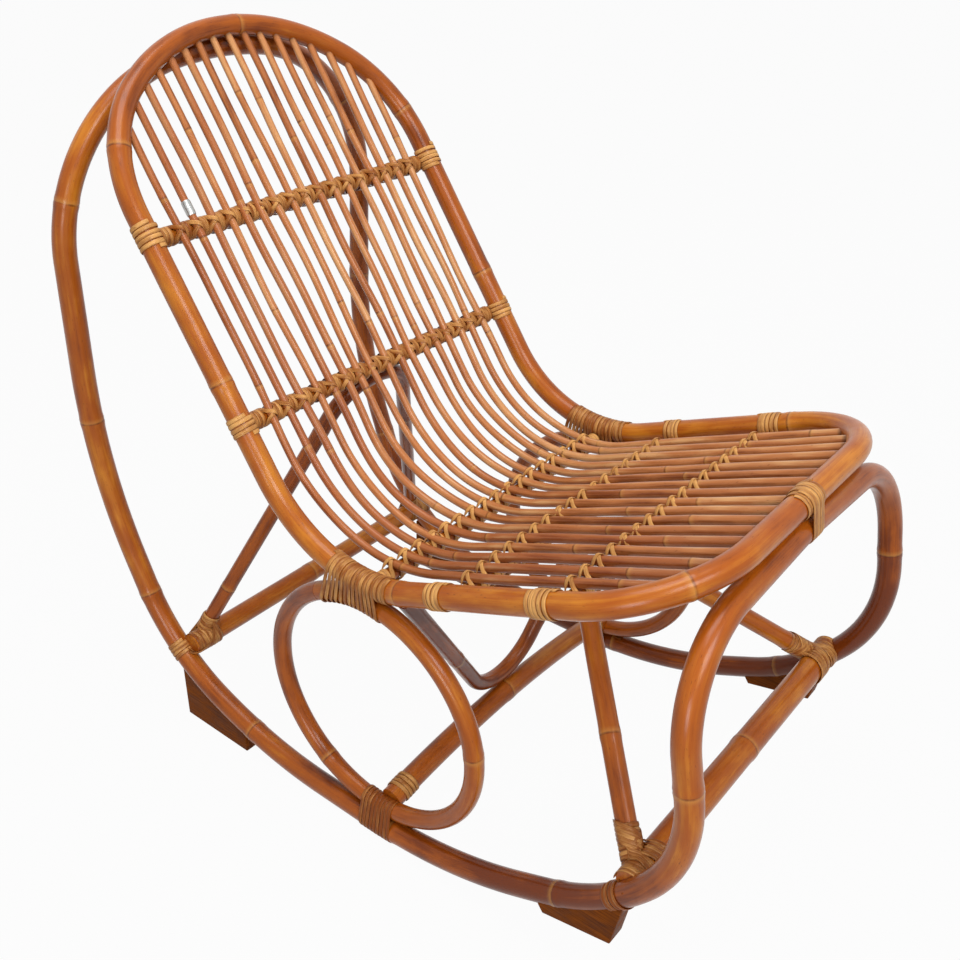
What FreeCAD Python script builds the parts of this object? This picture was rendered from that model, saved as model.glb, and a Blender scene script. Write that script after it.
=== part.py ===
import FreeCAD, Part
import math
import os

from FreeCAD import Placement, Rotation, Vector

# Rattan rocking chair, in millimetres. +Z is up and the sitter faces -Y. The chair is the same
# on both sides of X = 0. The origin is on the floor under the middle of the chair's box.
# A bent pole forms the seat and back, a second pole forms the rockers and the rear prop, and
# thin round slats fill the first one. Strips of cane bind the poles where they cross.

DIMENSIONS = (
    ("seat_pole", 30.0, "diameter of the seat hoop"),
    ("rocker_pole", 31.0, "diameter of the rocker hoop"),
    ("ring_pole", 25.0, "diameter of the pole bent into a side ring"),
    ("front_stretcher_pole", 36.0, "diameter of the front stretcher"),
    ("middle_stretcher_pole", 32.0, "diameter of the middle stretcher"),
    ("rear_stretcher_pole", 31.0, "diameter of the rear stretcher"),
    ("front_brace_pole", 25.5, "diameter of the front brace"),
    ("rear_brace_pole", 22.0, "diameter of the rear brace"),
    ("under_brace_pole", 23.0, "diameter of the brace under the seat"),
    ("rail_pole", 18.0, "diameter of the rails and bars behind the slats"),
    ("slat_pole", 10.5, "diameter of a slat"),
    ("cane", 3.0, "thickness of the binding cane"),
    ("cane_pitch", 6.2, "step from one turn of cane to the next"),
    ("front_pitch", 4.0, "the same round the front rails, between two slats"),
    ("nail", 2.4, "diameter of a nail"),
    ("ease", 0.3, "room between two poles that touch"),
    ("slip", 0.15, "room round a slat or a nail in its hole"),
    ("seam", 0.3, "gap where the two ends of a hoop meet"),
    ("ring_room", 1.2, "more room where a straight cope meets the curve of a ring"),
    ("stretcher_cope", 60.0, "half length of the cope at a stretcher or brace"),
    ("bar_cope", 30.0, "half length of the cope at a rail or bar"),
    ("block_cope", 18.0, "half length of the room for cane in a stop block"),
    ("slat_hole", 48.0, "length drilled for a slat's end"),
    ("seat_half_width", 258.6, "seat hoop axis to the middle, at the seat"),
    ("shoulder_half_width", 254.3, "seat hoop axis to the middle, at the back"),
    ("bend_y", 41.7, "corner between the lines of seat and back"),
    ("bend_z", 369.5, "height of that corner"),
    ("recline_deg", 33.54, "lean of the back from upright"),
    ("slope_deg", 21.55, "rise of the seat towards the front"),
    ("seat_length", 531.2, "corner to the front rail, along the seat"),
    ("front_radius", 133.0, "front corners of the seat"),
    ("bend_radius", 194.0, "bend between seat and back"),
    ("shoulder_radius", 195.0, "shoulders of the back"),
    ("shoulder_along", 600.1, "corner to the shoulder's corner, along the back"),
    ("crown_along", 796.2, "corner to the crown's corner, along the back"),
    ("rocker_half_width", 265.8, "rocker hoop axis to the middle, on the floor"),
    ("prop_half_width", 272.8, "rocker hoop axis to the middle, at the prop"),
    ("rail_y", -458.2, "middle of the rocker hoop's front rail"),
    ("rail_z", 533.2, "height of that rail"),
    ("rail_corner_y", -457.4, "corner of that rail"),
    ("rail_corner_z", 514.5, "height of that corner"),
    ("rail_radius", 121.0, "corners of that rail"),
    ("knee_y", -499.6, "foremost corner of the rocker's outline"),
    ("knee_z", 271.5, "its height"),
    ("toe_y", -399.3, "lower front corner of the outline"),
    ("toe_z", 128.0, "its height"),
    ("sole_front_y", -158.7, "front end of the outline's floor run"),
    ("sole_rear_y", 184.5, "rear end of the outline's floor run"),
    ("calf_y", 388.4, "lower rear corner of the outline"),
    ("calf_z", 109.5, "its height"),
    ("hip_y", 497.7, "rearmost corner of the outline"),
    ("hip_z", 395.8, "its height"),
    ("prop_y", 457.7, "shoulder corner of the prop"),
    ("prop_z", 906.4, "its height"),
    ("prop_radius", 236.0, "shoulders of the prop"),
    ("prop_crown_y", 453.8, "crown corner of the prop"),
    ("prop_crown_z", 947.3, "its height"),
    ("ring_x", 259.5, "plane of a side ring"),
    ("ring_y", -34.0, "centre of a side ring"),
    ("slat_pitch", 26.2, "slat to slat"),
    ("upper_rail_along", 476.0, "corner to the upper rail, along the back"),
    ("lower_rail_along", 226.0, "corner to the lower rail, along the back"),
    ("rear_bar_deg", 22.0, "rear bar, turned back round the bend from the seat's end of it"),
    ("middle_bar_along", 212.0, "corner to the middle bar, along the seat"),
    ("front_bar_along", 365.0, "corner to the front bar, along the seat"),
    ("bar_half", 247.0, "middle to the end of a rail or bar"),
    ("rear_bar_half", 239.0, "middle to the end of the rear bar, inside the rings' bindings"),
    ("stretcher_half", 257.0, "middle to the end of the front and rear stretchers"),
    ("rear_stretcher_y", 345.0, "rear stretcher"),
    ("rear_stretcher_z", 131.5, "its height"),
    ("front_stretcher_y", -428.0, "front stretcher"),
    ("front_stretcher_z", 184.0, "its height"),
    ("middle_stretcher_y", -52.0, "middle stretcher"),
    ("middle_stretcher_z", 80.0, "its height in the middle"),
    ("middle_stretcher_drop", 21.0, "how far its ends dip"),
    ("middle_stretcher_half", 252.0, "middle to its end, over the ring's foot"),
    ("front_joint_y", -418.0, "bound place of a rocker at its front stretcher"),
    ("front_joint_z", 160.0, "its height"),
    ("rear_joint_y", 362.0, "bound place of a rocker at its rear stretcher"),
    ("rear_joint_z", 120.0, "its height"),
    ("front_foot_x", 236.4, "foot of the front brace"),
    ("front_foot_y", -416.0, "its place"),
    ("front_foot_z", 184.0, "its height"),
    ("front_apex_y", -153.5, "corner at the top of the front brace"),
    ("front_apex_z", 427.0, "its height"),
    ("front_apex_radius", 34.0, "bend at the top of the front brace"),
    ("front_band", 32.0, "foot of the front brace to its binding"),
    ("rear_foot_x", 235.5, "foot of the rear brace"),
    ("rear_foot_y", 350.0, "its place"),
    ("rear_foot_z", 142.0, "its height"),
    ("rear_apex_x", 56.0, "corners at the top of the rear brace, to the middle"),
    ("rear_apex_y", 190.0, "their place"),
    ("rear_apex_z", 527.5, "their height"),
    ("rear_apex_radius", 75.0, "bends at the top of the rear brace"),
    ("rear_band", 27.0, "foot of the rear brace to its binding"),
    ("middle_band", 13.0, "end of the middle stretcher to its binding"),
    ("under_top_x", 238.0, "top of the brace under the seat"),
    ("under_top_y", -79.0, "its place"),
    ("under_top_z", 396.0, "its height"),
    ("under_foot_y", -32.5, "corner at the foot of that brace"),
    ("under_foot_z", 40.8, "its height"),
    ("under_foot_radius", 82.5, "bend at the foot of that brace"),
    ("block_width", 27.0, "width of a stop block"),
    ("block_x", 266.5, "middle of a stop block"),
    ("rear_toe_y", 221.0, "front edge of a rear block's sole"),
    ("rear_heel_y", 358.0, "rear edge of a rear block's sole"),
    ("rear_heel_z", 95.0, "top of its rear face"),
    ("rear_heel_lean", 4.0, "how far that face leans forward"),
    ("rear_step_y", 256.0, "step in the top of a rear block"),
    ("rear_step_z", 46.0, "its height"),
    ("rear_toe_z", 30.0, "top of a rear block's front face"),
    ("front_heel_y", -324.0, "rear edge of a front block's sole"),
    ("front_heel_z", 70.0, "its height"),
    ("front_tip_y", -418.0, "front edge of a front block's sole"),
    ("front_tip_z", 91.0, "its height"),
    ("front_top_y", -430.0, "top of a front block's front face"),
    ("front_top_z", 158.0, "its height"),
    ("front_step_y", -374.0, "step in the top of a front block"),
    ("front_step_z", 120.0, "its height"),
    ("front_back_y", -316.0, "top of a front block's rear face"),
    ("front_back_z", 82.0, "its height"),
    ("nail_back", 14.0, "start of a nail, behind the axis of its first pole"),
    ("nail_past", 5.0, "end of a nail, past the axis of its second pole"),
    ("nail_sink", 4.0, "depth of a nail in a block's sole"),
    ("rail_nail_x", 70.0, "nail in the front rails, to the middle"),
    ("stretcher_nail", 70.0, "length of a nail in a stretcher"),
    ("rear_nail_y", 300.0, "first nail of a rear block"),
    ("rear_nail_step", 35.0, "to its second nail"),
    ("rear_nail", 62.0, "length of its first nail"),
    ("rear_nail_growth", 22.0, "how much longer its second nail is"),
    ("front_nail_inset", 26.0, "nails of a front block, from the ends of its sole"),
    ("front_nail", 34.0, "length of its rear nail"),
    ("front_nail_growth", 10.0, "how much longer its front nail is"),
    ("bend_binding", 55.0, "start of the bend's binding, behind the top of the ring"),
    ("foot_binding", 7.0, "middle of the foot's binding, in front of the ring's middle"),
    ("lash_room", 0.2, "more room between a lashing and what it ties"),
    ("lash_side", 8.0, "a lashing beside a slat, from the rail's line"),
    ("lash_foot", 12.4, "a lashing beside the rail, from the rail's line"),
    ("lash_flare", 1.6, "how far it leans away from the slat at the rail"),
    ("sleeve_along", 498.0, "corner to the metal sleeve, along the back"),
    ("sleeve_length", 15.0, "length of the metal sleeve"),
    ("sleeve_wall", 0.5, "thickness of its metal"),
    ("spacer_length", 14.0, "length of the sliver under a ring"),
    ("spacer_width", 9.0, "width of that sliver"),
    ("spacer_height", 2.8, "thickness of that sliver"),
    ("spacer_y", -96.0, "front end of that sliver"),
)

SLATS = 17
NEARLY_ZERO = 1e-4
SECTION = 4000.0
SIDES = (("right", -1), ("left", 1))
ACROSS = Vector(1, 0, 0)
UP = Vector(0, 0, 1)

doc = FreeCAD.newDocument("rattan_rocking_chair")
sheet = doc.addObject("Spreadsheet::Sheet", "Sizes")
for row, (alias, value, meaning) in enumerate(DIMENSIONS, start=1):
    sheet.set("A%d" % row, meaning)
    sheet.set("B%d" % row, str(value))
    sheet.setAlias("B%d" % row, alias)
doc.recompute()

pieces = []


def size(alias):
    """A driving dimension from the sheet."""
    return float(getattr(sheet, alias))


def keep(piece, label):
    """Name a finished piece and put it on the list of those to write."""
    piece.Label = label
    pieces.append(piece)
    return piece


def unit(vector):
    return Vector(vector).normalize()


def mirrored(point):
    return Vector(-point.x, point.y, point.z)


# Lines of the seat and back

RECLINE = math.radians(size("recline_deg"))
SLOPE = math.radians(size("slope_deg"))
BEND = Vector(0, size("bend_y"), size("bend_z"))
BACKWARD = Vector(0, math.sin(RECLINE), math.cos(RECLINE))
FORWARD = Vector(0, -math.cos(SLOPE), math.sin(SLOPE))
BACK_FACE = Vector(0, -math.cos(RECLINE), math.sin(RECLINE))
SEAT_FACE = Vector(0, math.sin(SLOPE), math.cos(SLOPE))
BEND_TURN = math.pi - BACKWARD.getAngle(FORWARD)
BEND_REACH = size("bend_radius") * math.tan(BEND_TURN / 2)
BEND_CENTRE = BEND + FORWARD * BEND_REACH + SEAT_FACE * size("bend_radius")
RAIL_DROP = (size("slat_pole") + size("rail_pole")) / 2 + size("ease")


# Paths of straight runs and tangent arcs

def tangent_reach(points, radii):
    """Tangent length at each corner. One with no radius takes the largest arc its runs leave."""
    last = len(points) - 1
    turns = [0.0] * (last + 1)
    reach = [0.0] * (last + 1)
    for i in range(1, last):
        turns[i] = (points[i] - points[i - 1]).getAngle(points[i + 1] - points[i])
        if radii[i] is not None:
            reach[i] = radii[i] * math.tan(turns[i] / 2)
    free = [radii[i] is None for i in range(last + 1)]
    for i in range(1, last):
        if free[i]:
            room = []
            for neighbour in (i - 1, i + 1):
                run = (points[i] - points[neighbour]).Length
                room.append(run / 2 if free[neighbour] else run - reach[neighbour])
            reach[i] = min(room)
    return turns, reach


def rounded(points, radii):
    """Edges through a row of corners, each corner rounded by a tangent arc."""
    turns, reach = tangent_reach(points, radii)
    edges = []
    start = points[0]
    for i in range(1, len(points) - 1):
        back = unit(points[i - 1] - points[i])
        ahead = unit(points[i + 1] - points[i])
        enter = points[i] + back * reach[i]
        leave = points[i] + ahead * reach[i]
        radius = reach[i] / math.tan(turns[i] / 2)
        crown = points[i] + unit(back + ahead) * radius * (1 / math.cos(turns[i] / 2) - 1)
        if (enter - start).Length > NEARLY_ZERO:
            edges.append(Part.LineSegment(start, enter).toShape())
        edges.append(Part.Arc(enter, crown, leave).toShape())
        start = leave
    if (points[-1] - start).Length > NEARLY_ZERO:
        edges.append(Part.LineSegment(start, points[-1]).toShape())
    return edges


def at_length(edges, length):
    """Point and heading at a length along a row of edges."""
    for edge in edges:
        if length <= edge.Length or edge is edges[-1]:
            parameter = edge.getParameterByLength(min(max(length, 0.0), edge.Length))
            return edge.valueAt(parameter), unit(edge.tangentAt(parameter))
        length -= edge.Length


def length_near(edges, target, step=0.5):
    """Length along a row of edges to the place nearest a point."""
    total = sum(edge.Length for edge in edges)
    lengths = [i * step for i in range(int(total / step))]
    return min(lengths, key=lambda length: (at_length(edges, length)[0] - target).Length)


def seat_line():
    """Axis of the seat hoop, from the middle of the front rail round to it again."""
    front = BEND + FORWARD * size("seat_length")
    shoulder = BEND + BACKWARD * size("shoulder_along")
    crown = BEND + BACKWARD * size("crown_along")
    between_slats = front + ACROSS * size("slat_pitch") / 2
    gap = ACROSS * size("seam") / 2
    half = [
        Vector(-size("seat_half_width"), front.y, front.z),
        Vector(-size("seat_half_width"), BEND.y, BEND.z),
        Vector(-size("shoulder_half_width"), shoulder.y, shoulder.z),
    ]
    radii = [size("front_radius"), size("bend_radius"), size("shoulder_radius")]
    points = half + [crown] + [mirrored(point) for point in reversed(half)]
    return rounded(
        [between_slats - gap] + points + [between_slats + gap],
        [0.0] + radii + [None] + radii[::-1] + [0.0])


def rocker_line():
    """Axis of the rocker hoop: front rail, legs, rockers and the prop behind the back."""
    floor_z = size("cane") + size("ease") + size("rocker_pole") / 2
    wide = -size("rocker_half_width")
    prop = -size("prop_half_width")
    half = [
        Vector(-size("seam") / 2, size("rail_y"), size("rail_z")),
        Vector(wide, size("rail_corner_y"), size("rail_corner_z")),
        Vector(wide, size("knee_y"), size("knee_z")),
        Vector(wide, size("toe_y"), size("toe_z")),
        Vector(wide, size("sole_front_y"), floor_z),
        Vector(wide, size("sole_rear_y"), floor_z),
        Vector((wide + prop) / 2, size("calf_y"), size("calf_z")),
        Vector(prop, size("hip_y"), size("hip_z")),
        Vector(prop, size("prop_y"), size("prop_z")),
    ]
    radii = [0.0, size("rail_radius"), None, None, None, None, None, None, size("prop_radius")]
    crown = Vector(0, size("prop_crown_y"), size("prop_crown_z"))
    points = half + [crown] + [mirrored(point) for point in reversed(half)]
    return rounded(points, radii + [None] + radii[::-1])


SEAT_LINE = seat_line()
ROCKER_LINE = rocker_line()


# Poles, rods and cuts

def pole(name, edges, diameter):
    """A round pole swept along edges, its diameter bound to a cell of the sheet."""
    spine = doc.addObject("Part::Feature", name + "_line")
    spine.Shape = Part.Wire(edges)
    start, heading = at_length(edges, 0.0)
    section = doc.addObject("Part::Circle", name + "_section")
    section.setExpression("Radius", "Sizes.%s / 2" % diameter)
    section.Placement = Placement(start, Rotation(UP, heading))
    sweep = doc.addObject("Part::Sweep", name)
    sweep.Sections = [section]
    sweep.Spine = (spine, ["Edge%d" % (i + 1) for i in range(len(edges))])
    sweep.Solid = True
    sweep.Frenet = False
    return sweep


def rod(name, start, end, radius):
    """A straight rod between two points, its radius an expression on the sheet."""
    cylinder = doc.addObject("Part::Cylinder", name)
    cylinder.setExpression("Radius", radius)
    cylinder.Height = (end - start).Length
    cylinder.Placement = Placement(start, Rotation(UP, unit(end - start)))
    return cylinder


def cross_rod(name, middle, half_length, diameter):
    """A rod across the chair."""
    reach = ACROSS * half_length
    return rod(name, middle - reach, middle + reach, "Sizes.%s / 2" % diameter)


def cut(base, tools):
    """One piece with the room of others taken out of it."""
    tool = tools[0]
    if len(tools) > 1:
        tool = doc.addObject("Part::Compound", base.Name + "_room")
        tool.Links = tools
    result = doc.addObject("Part::Cut", base.Name + "_cut")
    result.Base = base
    result.Tool = tool
    return result


def saddles(name, edges, target, radius, cope):
    """Straight lengths of a pole on both sides of the chair, for the ends that are coped to it."""
    rods = []
    reach = size(cope)
    for side, sign in SIDES:
        place = Vector(sign * target.x, target.y, target.z)
        point, heading = at_length(edges, length_near(edges, place))
        rods.append(rod("%s_%s" % (name, side), point - heading * reach, point + heading * reach, radius))
    return rods


def pins(name, nails, spread):
    """Straight headless nails, or with some spread the holes that they sit in."""
    radius = "Sizes.nail / 2 + %s" % spread
    return [rod("%s_%d" % (name, i), start, end, radius) for i, (start, end) in enumerate(nails)]


BOUND_COPE = "Sizes.%s / 2 + Sizes.ease * 2 + Sizes.cane"
BARE_COPE = "Sizes.%s / 2 + Sizes.ease"


# Slats

def slat_ends(x):
    """Where a slat's axis meets the seat hoop's axis, at the arch and at the front."""
    corner = Vector(x, -SECTION / 2, -SECTION / 2)
    plane = Part.makePlane(SECTION, SECTION, corner, ACROSS, Vector(0, 1, 0))
    points = [vertex.Point for vertex in Part.Wire(SEAT_LINE).section(plane).Vertexes]
    return max(points, key=lambda point: point.z), min(points, key=lambda point: point.y)


def slat_x(index):
    return (index - (SLATS - 1) / 2) * size("slat_pitch")


def slat_line(x):
    top, front = slat_ends(x)
    corner = Vector(x, BEND.y, BEND.z)
    return rounded([top, corner, front], [0.0, size("bend_radius"), 0.0])


def slat_holes(name, x):
    """The holes in the seat hoop that hold a slat's two ends."""
    top, front = slat_ends(x)
    radius = "Sizes.slat_pole / 2 + Sizes.slip"
    depth = size("slat_hole")
    past = size("ease")
    front_way = unit(front - Vector(x, BEND.y, BEND.z))
    return [
        rod(name + "_top", top - BACKWARD * depth, top + BACKWARD * past, radius),
        rod(name + "_front", front - front_way * depth, front + front_way * past, radius),
    ]


# Rails and bars behind the slats

def rail_middles():
    """Axis of each rail and bar at X = 0, just behind or under the slats."""
    turn = math.radians(size("rear_bar_deg"))
    out = SEAT_FACE * -math.cos(turn) - FORWARD * math.sin(turn)
    back = BACK_FACE * -RAIL_DROP
    down = SEAT_FACE * -RAIL_DROP
    return {
        "upper_back_rail": BEND + BACKWARD * size("upper_rail_along") + back,
        "lower_back_rail": BEND + BACKWARD * size("lower_rail_along") + back,
        "rear_seat_bar": BEND_CENTRE + out * (size("bend_radius") + RAIL_DROP),
        "middle_seat_bar": BEND + FORWARD * size("middle_bar_along") + down,
        "front_seat_bar": BEND + FORWARD * size("front_bar_along") + down,
    }


RAILS = rail_middles()


# Side rings touch the bend of the seat above them and the rocker below

def ring_circle():
    """Centre height and radius of a ring that just touches both poles."""
    seat_low = BEND_CENTRE.z - size("bend_radius")
    rocker_high = size("cane") + size("ease") + size("rocker_pole") / 2
    seat_gap = (size("seat_pole") + size("ring_pole")) / 2 + size("ease")
    rocker_gap = (size("rocker_pole") + size("ring_pole")) / 2 + size("ease")
    top = seat_low - seat_gap
    bottom = rocker_high + rocker_gap
    return (top + bottom) / 2, (top - bottom) / 2


RING_Z, RING_RADIUS = ring_circle()


# Nails through the poles

def block_nails():
    """Place on the sole and length of the nails of a rear and a front block."""
    first = Vector(0, size("rear_nail_y"), 0)
    second = first + Vector(0, size("rear_nail_step"), 0)
    heel = Vector(0, size("front_heel_y"), size("front_heel_z"))
    tip = Vector(0, size("front_tip_y"), size("front_tip_z"))
    inset = unit(tip - heel) * size("front_nail_inset")
    return (
        (first, size("rear_nail")),
        (second, size("rear_nail") + size("rear_nail_growth")),
        (heel + inset, size("front_nail")),
        (tip - inset, size("front_nail") + size("front_nail_growth")),
    )


def nail_places():
    """Start and end of every nail, in groups that share a node."""
    back = size("nail_back")
    past = size("nail_past")
    groups = {"arch_nails": [], "front_rail_nails": [], "stretcher_nails": [], "block_nails": []}
    for _, sign in SIDES:
        beside = Vector(sign * size("slat_pitch") / 2, size("prop_crown_y"), size("prop_crown_z"))
        prop, _ = at_length(ROCKER_LINE, length_near(ROCKER_LINE, beside))
        arch, _ = at_length(SEAT_LINE, length_near(SEAT_LINE, beside))
        way = unit(arch - prop)
        groups["arch_nails"].append((prop - way * back, arch + way * past))
        low = Vector(sign * size("rail_nail_x"), size("rail_y"), size("rail_z") - back)
        front = BEND + FORWARD * size("seat_length")
        high = Vector(sign * size("rail_nail_x"), front.y, front.z + past)
        groups["front_rail_nails"].append((low, high))
        beyond = size("rocker_half_width") + back
        outside = Vector(sign * beyond, size("front_stretcher_y"), size("front_stretcher_z"))
        groups["stretcher_nails"].append((outside, outside - ACROSS * sign * size("stretcher_nail")))
        for sole, length in block_nails():
            under = Vector(sign * size("block_x"), sole.y, sole.z + size("nail_sink"))
            groups["block_nails"].append((under, under + UP * length))
    return groups


NAILS = nail_places()


def nail_holes(name, *groups):
    holes = []
    for group in groups:
        holes += pins("%s_%s_hole" % (name, group), NAILS[group], "Sizes.slip")
    return holes


# Stop blocks: wooden wedges under the rockers

def block(name, sign, corners):
    """A wedge sketched from the side and padded to its width, corners given as cell names."""
    body = doc.addObject("PartDesign::Body", name)
    side_plane = [plane for plane in body.Origin.OriginFeatures if plane.Role == "YZ_Plane"][0]
    sketch = body.newObject("Sketcher::SketchObject", name + "_outline")
    sketch.AttachmentSupport = (side_plane, [""])
    sketch.MapMode = "FlatFace"
    points = [Vector(y, z, 0) for y, z in corners]
    for i, point in enumerate(points):
        sketch.addGeometry(Part.LineSegment(point, points[(i + 1) % len(points)]), False)
    pad = body.newObject("PartDesign::Pad", name + "_pad")
    pad.Profile = sketch
    pad.setExpression("Length", "Sizes.block_width")
    pad.Midplane = True
    body.Placement = Placement(Vector(sign * size("block_x"), 0, 0), Rotation())
    return body


FRONT_JOINT = Vector(size("rocker_half_width"), size("front_joint_y"), size("front_joint_z"))
REAR_JOINT = Vector(size("prop_half_width"), size("rear_joint_y"), size("rear_joint_z"))
REAR_BLOCK = (
    (size("rear_toe_y"), 0.0),
    (size("rear_heel_y"), 0.0),
    (size("rear_heel_y") - size("rear_heel_lean"), size("rear_heel_z")),
    (size("rear_step_y"), size("rear_step_z")),
    (size("rear_toe_y"), size("rear_toe_z")),
)
FRONT_BLOCK = (
    (size("front_heel_y"), size("front_heel_z")),
    (size("front_tip_y"), size("front_tip_z")),
    (size("front_top_y"), size("front_top_z")),
    (size("front_step_y"), size("front_step_z")),
    (size("front_back_y"), size("front_back_z")),
)


# Bound cane: one strip wound round one pole, or round two that cross

def arc_edge(start, corner, end):
    """Arc from start to end, tangent to the lines through their common corner."""
    middle = (start + end) * 0.5
    turn = (corner - start).getAngle(end - corner)
    if turn < NEARLY_ZERO:
        return Part.LineSegment(start, end).toShape()
    rise = (end - start).Length / 2 * math.tan(turn / 4)
    return Part.Arc(start, middle + unit(corner - middle) * rise, end).toShape()


def biarc(start, heading, end, ending):
    """Two arcs that leave start along heading, meet smoothly and reach end along ending."""
    chord = end - start
    square = 2 * (heading.dot(ending) - 1)
    linear = -2 * chord.dot(heading + ending)
    constant = chord.dot(chord)
    if abs(square) < NEARLY_ZERO ** 2:
        arm = -constant / linear
    else:
        arm = (-linear - math.sqrt(linear * linear - 4 * square * constant)) / (2 * square)
    first = start + heading * arm
    second = end - ending * arm
    joint = (first + second) * 0.5
    return [arc_edge(start, first, joint), arc_edge(joint, second, end)]


def strip(name, stations):
    """One unbroken cane strip through stations of point and heading, its ends run straight."""
    cane = size("cane")
    start, heading = stations[0]
    end, ending = stations[-1]
    edges = [Part.LineSegment(start - heading * cane, start).toShape()]
    for (here, way), (there, next_way) in zip(stations, stations[1:]):
        edges += biarc(here, way, there, next_way)
    edges.append(Part.LineSegment(end, end + ending * cane).toShape())
    path = Part.Wire(edges)
    circle = Part.Circle(start - heading * cane, heading, cane / 2)
    shape = path.makePipeShell([Part.Wire([circle.toShape()])], True, False)
    report_gap(name, edges, shape)
    return shape


def report_gap(name, edges, shape, step=2.0, apart=4.0):
    """Print a strip's least gap to itself and how its volume compares with section times length."""
    cane = size("cane")
    samples = []
    travelled = 0.0
    for edge in edges:
        count = max(1, int(edge.Length / step))
        for i in range(count):
            length = edge.Length * i / count
            samples.append((travelled + length, edge.valueAt(edge.getParameterByLength(length))))
        travelled += edge.Length
    least = travelled
    for i, (here, point) in enumerate(samples):
        for there, other in samples[i + 1:]:
            if there - here > apart * cane:
                least = min(least, (other - point).Length)
    share = shape.Volume / (math.pi * cane * cane / 4 * travelled)
    print("%s: gap to itself %.2f mm, volume share %.4f" % (name, least - cane, share))


def single_loop(radius):
    """Quarter turns round one pole: place across the pole and way of travel there."""
    quarter = ((0, -1), (1, 0), (0, 1), (-1, 0))
    loop = [(radius * a, radius * b, -b, a) for a, b in quarter]
    return loop, 2 * math.pi * radius


def double_loop(radius, partner_radius, distance):
    """A belt round two poles: place across the first pole and way of travel there."""
    lean = math.asin((radius - partner_radius) / distance)
    c, s = math.cos(lean), math.sin(lean)
    run = distance * c
    loop = [
        (0, -radius, 1, 0),
        (radius * c, radius * s, -s, c),
        (partner_radius * c, distance + partner_radius * s, -s, c),
        (0, distance + partner_radius, -1, 0),
        (-partner_radius * c, distance + partner_radius * s, -s, -c),
        (-radius * c, radius * s, -s, -c),
    ]
    return loop, 2 * run + math.pi * (radius + partner_radius)


LOOP_STATIONS = 4
BELT_STATIONS = 6


def turns_on(frame, first, count, pitch, belted=0):
    """Stations of a winding. frame gives, at a length, the pole's axis and what lies against it."""
    stations = []
    steps = []
    for turn in range(count):
        belt = turn < belted
        count_here = BELT_STATIONS if belt else LOOP_STATIONS
        steps += [(turn + i / count_here, i, belt) for i in range(count_here)]
    steps.append((float(count), 0, count <= belted))
    for turn, place, belt in steps:
        point, heading, toward, radius, partner_radius, distance = frame(first + turn * pitch)
        side = toward.cross(heading)
        if belt:
            loop, perimeter = double_loop(radius, partner_radius, distance)
        else:
            loop, perimeter = single_loop(radius)
        a, b, da, db = loop[place]
        way = unit(side * da + toward * db + heading * (pitch / perimeter))
        stations.append((point + side * a + toward * b, way))
    return stations


def cane_radius(diameter):
    """Radius of a strip's middle line round a pole."""
    return size(diameter) / 2 + size("ease") + size("cane") / 2


def on_pole(edges, diameter):
    """Frame for a winding round one pole of a hoop."""
    def frame(length):
        point, heading = at_length(edges, length)
        toward = unit(heading.cross(ACROSS))
        return point, heading, toward, cane_radius(diameter), 0.0, 0.0
    return frame


def on_pole_and_ring(edges, diameter, sign):
    """Frame for a winding round a hoop's pole and the ring against it."""
    centre = Vector(0, size("ring_y"), RING_Z)

    def frame(length):
        point, heading = at_length(edges, length)
        down = unit(heading.cross(ACROSS))
        offset = Vector(0, point.y, point.z) - centre
        half = offset.dot(down)
        root = math.sqrt(half * half - offset.dot(offset) + RING_RADIUS ** 2)
        reach = min((-half - root, -half + root), key=abs)
        against = Vector(sign * size("ring_x"), point.y, point.z) + down * reach
        slant = abs(unit(offset + down * reach).dot(down))
        toward = against - point
        return (point, heading, unit(toward), cane_radius(diameter),
                cane_radius("ring_pole") / slant + size("ease"), toward.Length)
    return frame


def on_rod(start, end, diameter):
    """Frame for a winding round a straight rod."""
    heading = unit(end - start)
    toward = unit(heading.cross(UP))

    def frame(length):
        return start + heading * length, heading, toward, cane_radius(diameter), 0.0, 0.0
    return frame


def on_front_rails():
    """Frame for the belt round the two front rails."""
    seat = BEND + FORWARD * size("seat_length")
    fall = (size("rail_z") - size("rail_corner_z")) / size("rocker_half_width")

    def frame(length):
        low = Vector(0, size("rail_y"), size("rail_z") - fall * abs(length))
        toward = low - seat
        return (seat + ACROSS * length, ACROSS, unit(toward), cane_radius("seat_pole"),
                cane_radius("rocker_pole"), toward.Length)
    return frame


# How a lashing slants behind the rail, beside it, beside a slat and over the slat
BEHIND_SLANT = 0.35
RAIL_SLANT = 0.1
SLAT_SLANT = 0.3
OVER_SLANT = 1.2


def lashing_stations(middle, face):
    """Stations of a strip that goes over every slat and behind the rail between them."""
    over = cane_radius("slat_pole") + size("lash_room")
    behind = RAIL_DROP + cane_radius("rail_pole") + size("lash_room")
    wide = over + size("lash_flare")
    side = size("lash_side")
    foot = size("lash_foot")
    along = unit(face.cross(ACROSS))
    hump = (
        (-size("slat_pitch") / 2, 0.0, -behind, BEHIND_SLANT, -1.0, 0.0),
        (-wide, -foot, -RAIL_DROP, RAIL_SLANT, 0.0, 1.0),
        (-over, -side, 0.0, 0.0, SLAT_SLANT, 1.0),
        (0.0, 0.0, over, 1.0, OVER_SLANT, 0.0),
        (over, side, 0.0, 0.0, SLAT_SLANT, -1.0),
        (wide, foot, -RAIL_DROP, RAIL_SLANT, 0.0, -1.0),
    )

    def place(x, station):
        u, v, w, du, dv, dw = station
        origin = Vector(x, middle.y, middle.z) + face * RAIL_DROP
        way = unit(ACROSS * du + along * dv + face * dw)
        return origin + ACROSS * u + along * v + face * w, way

    stations = [place(slat_x(i), station) for i in range(SLATS) for station in hump]
    stations.append(place(slat_x(SLATS), hump[0]))
    return stations


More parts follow.
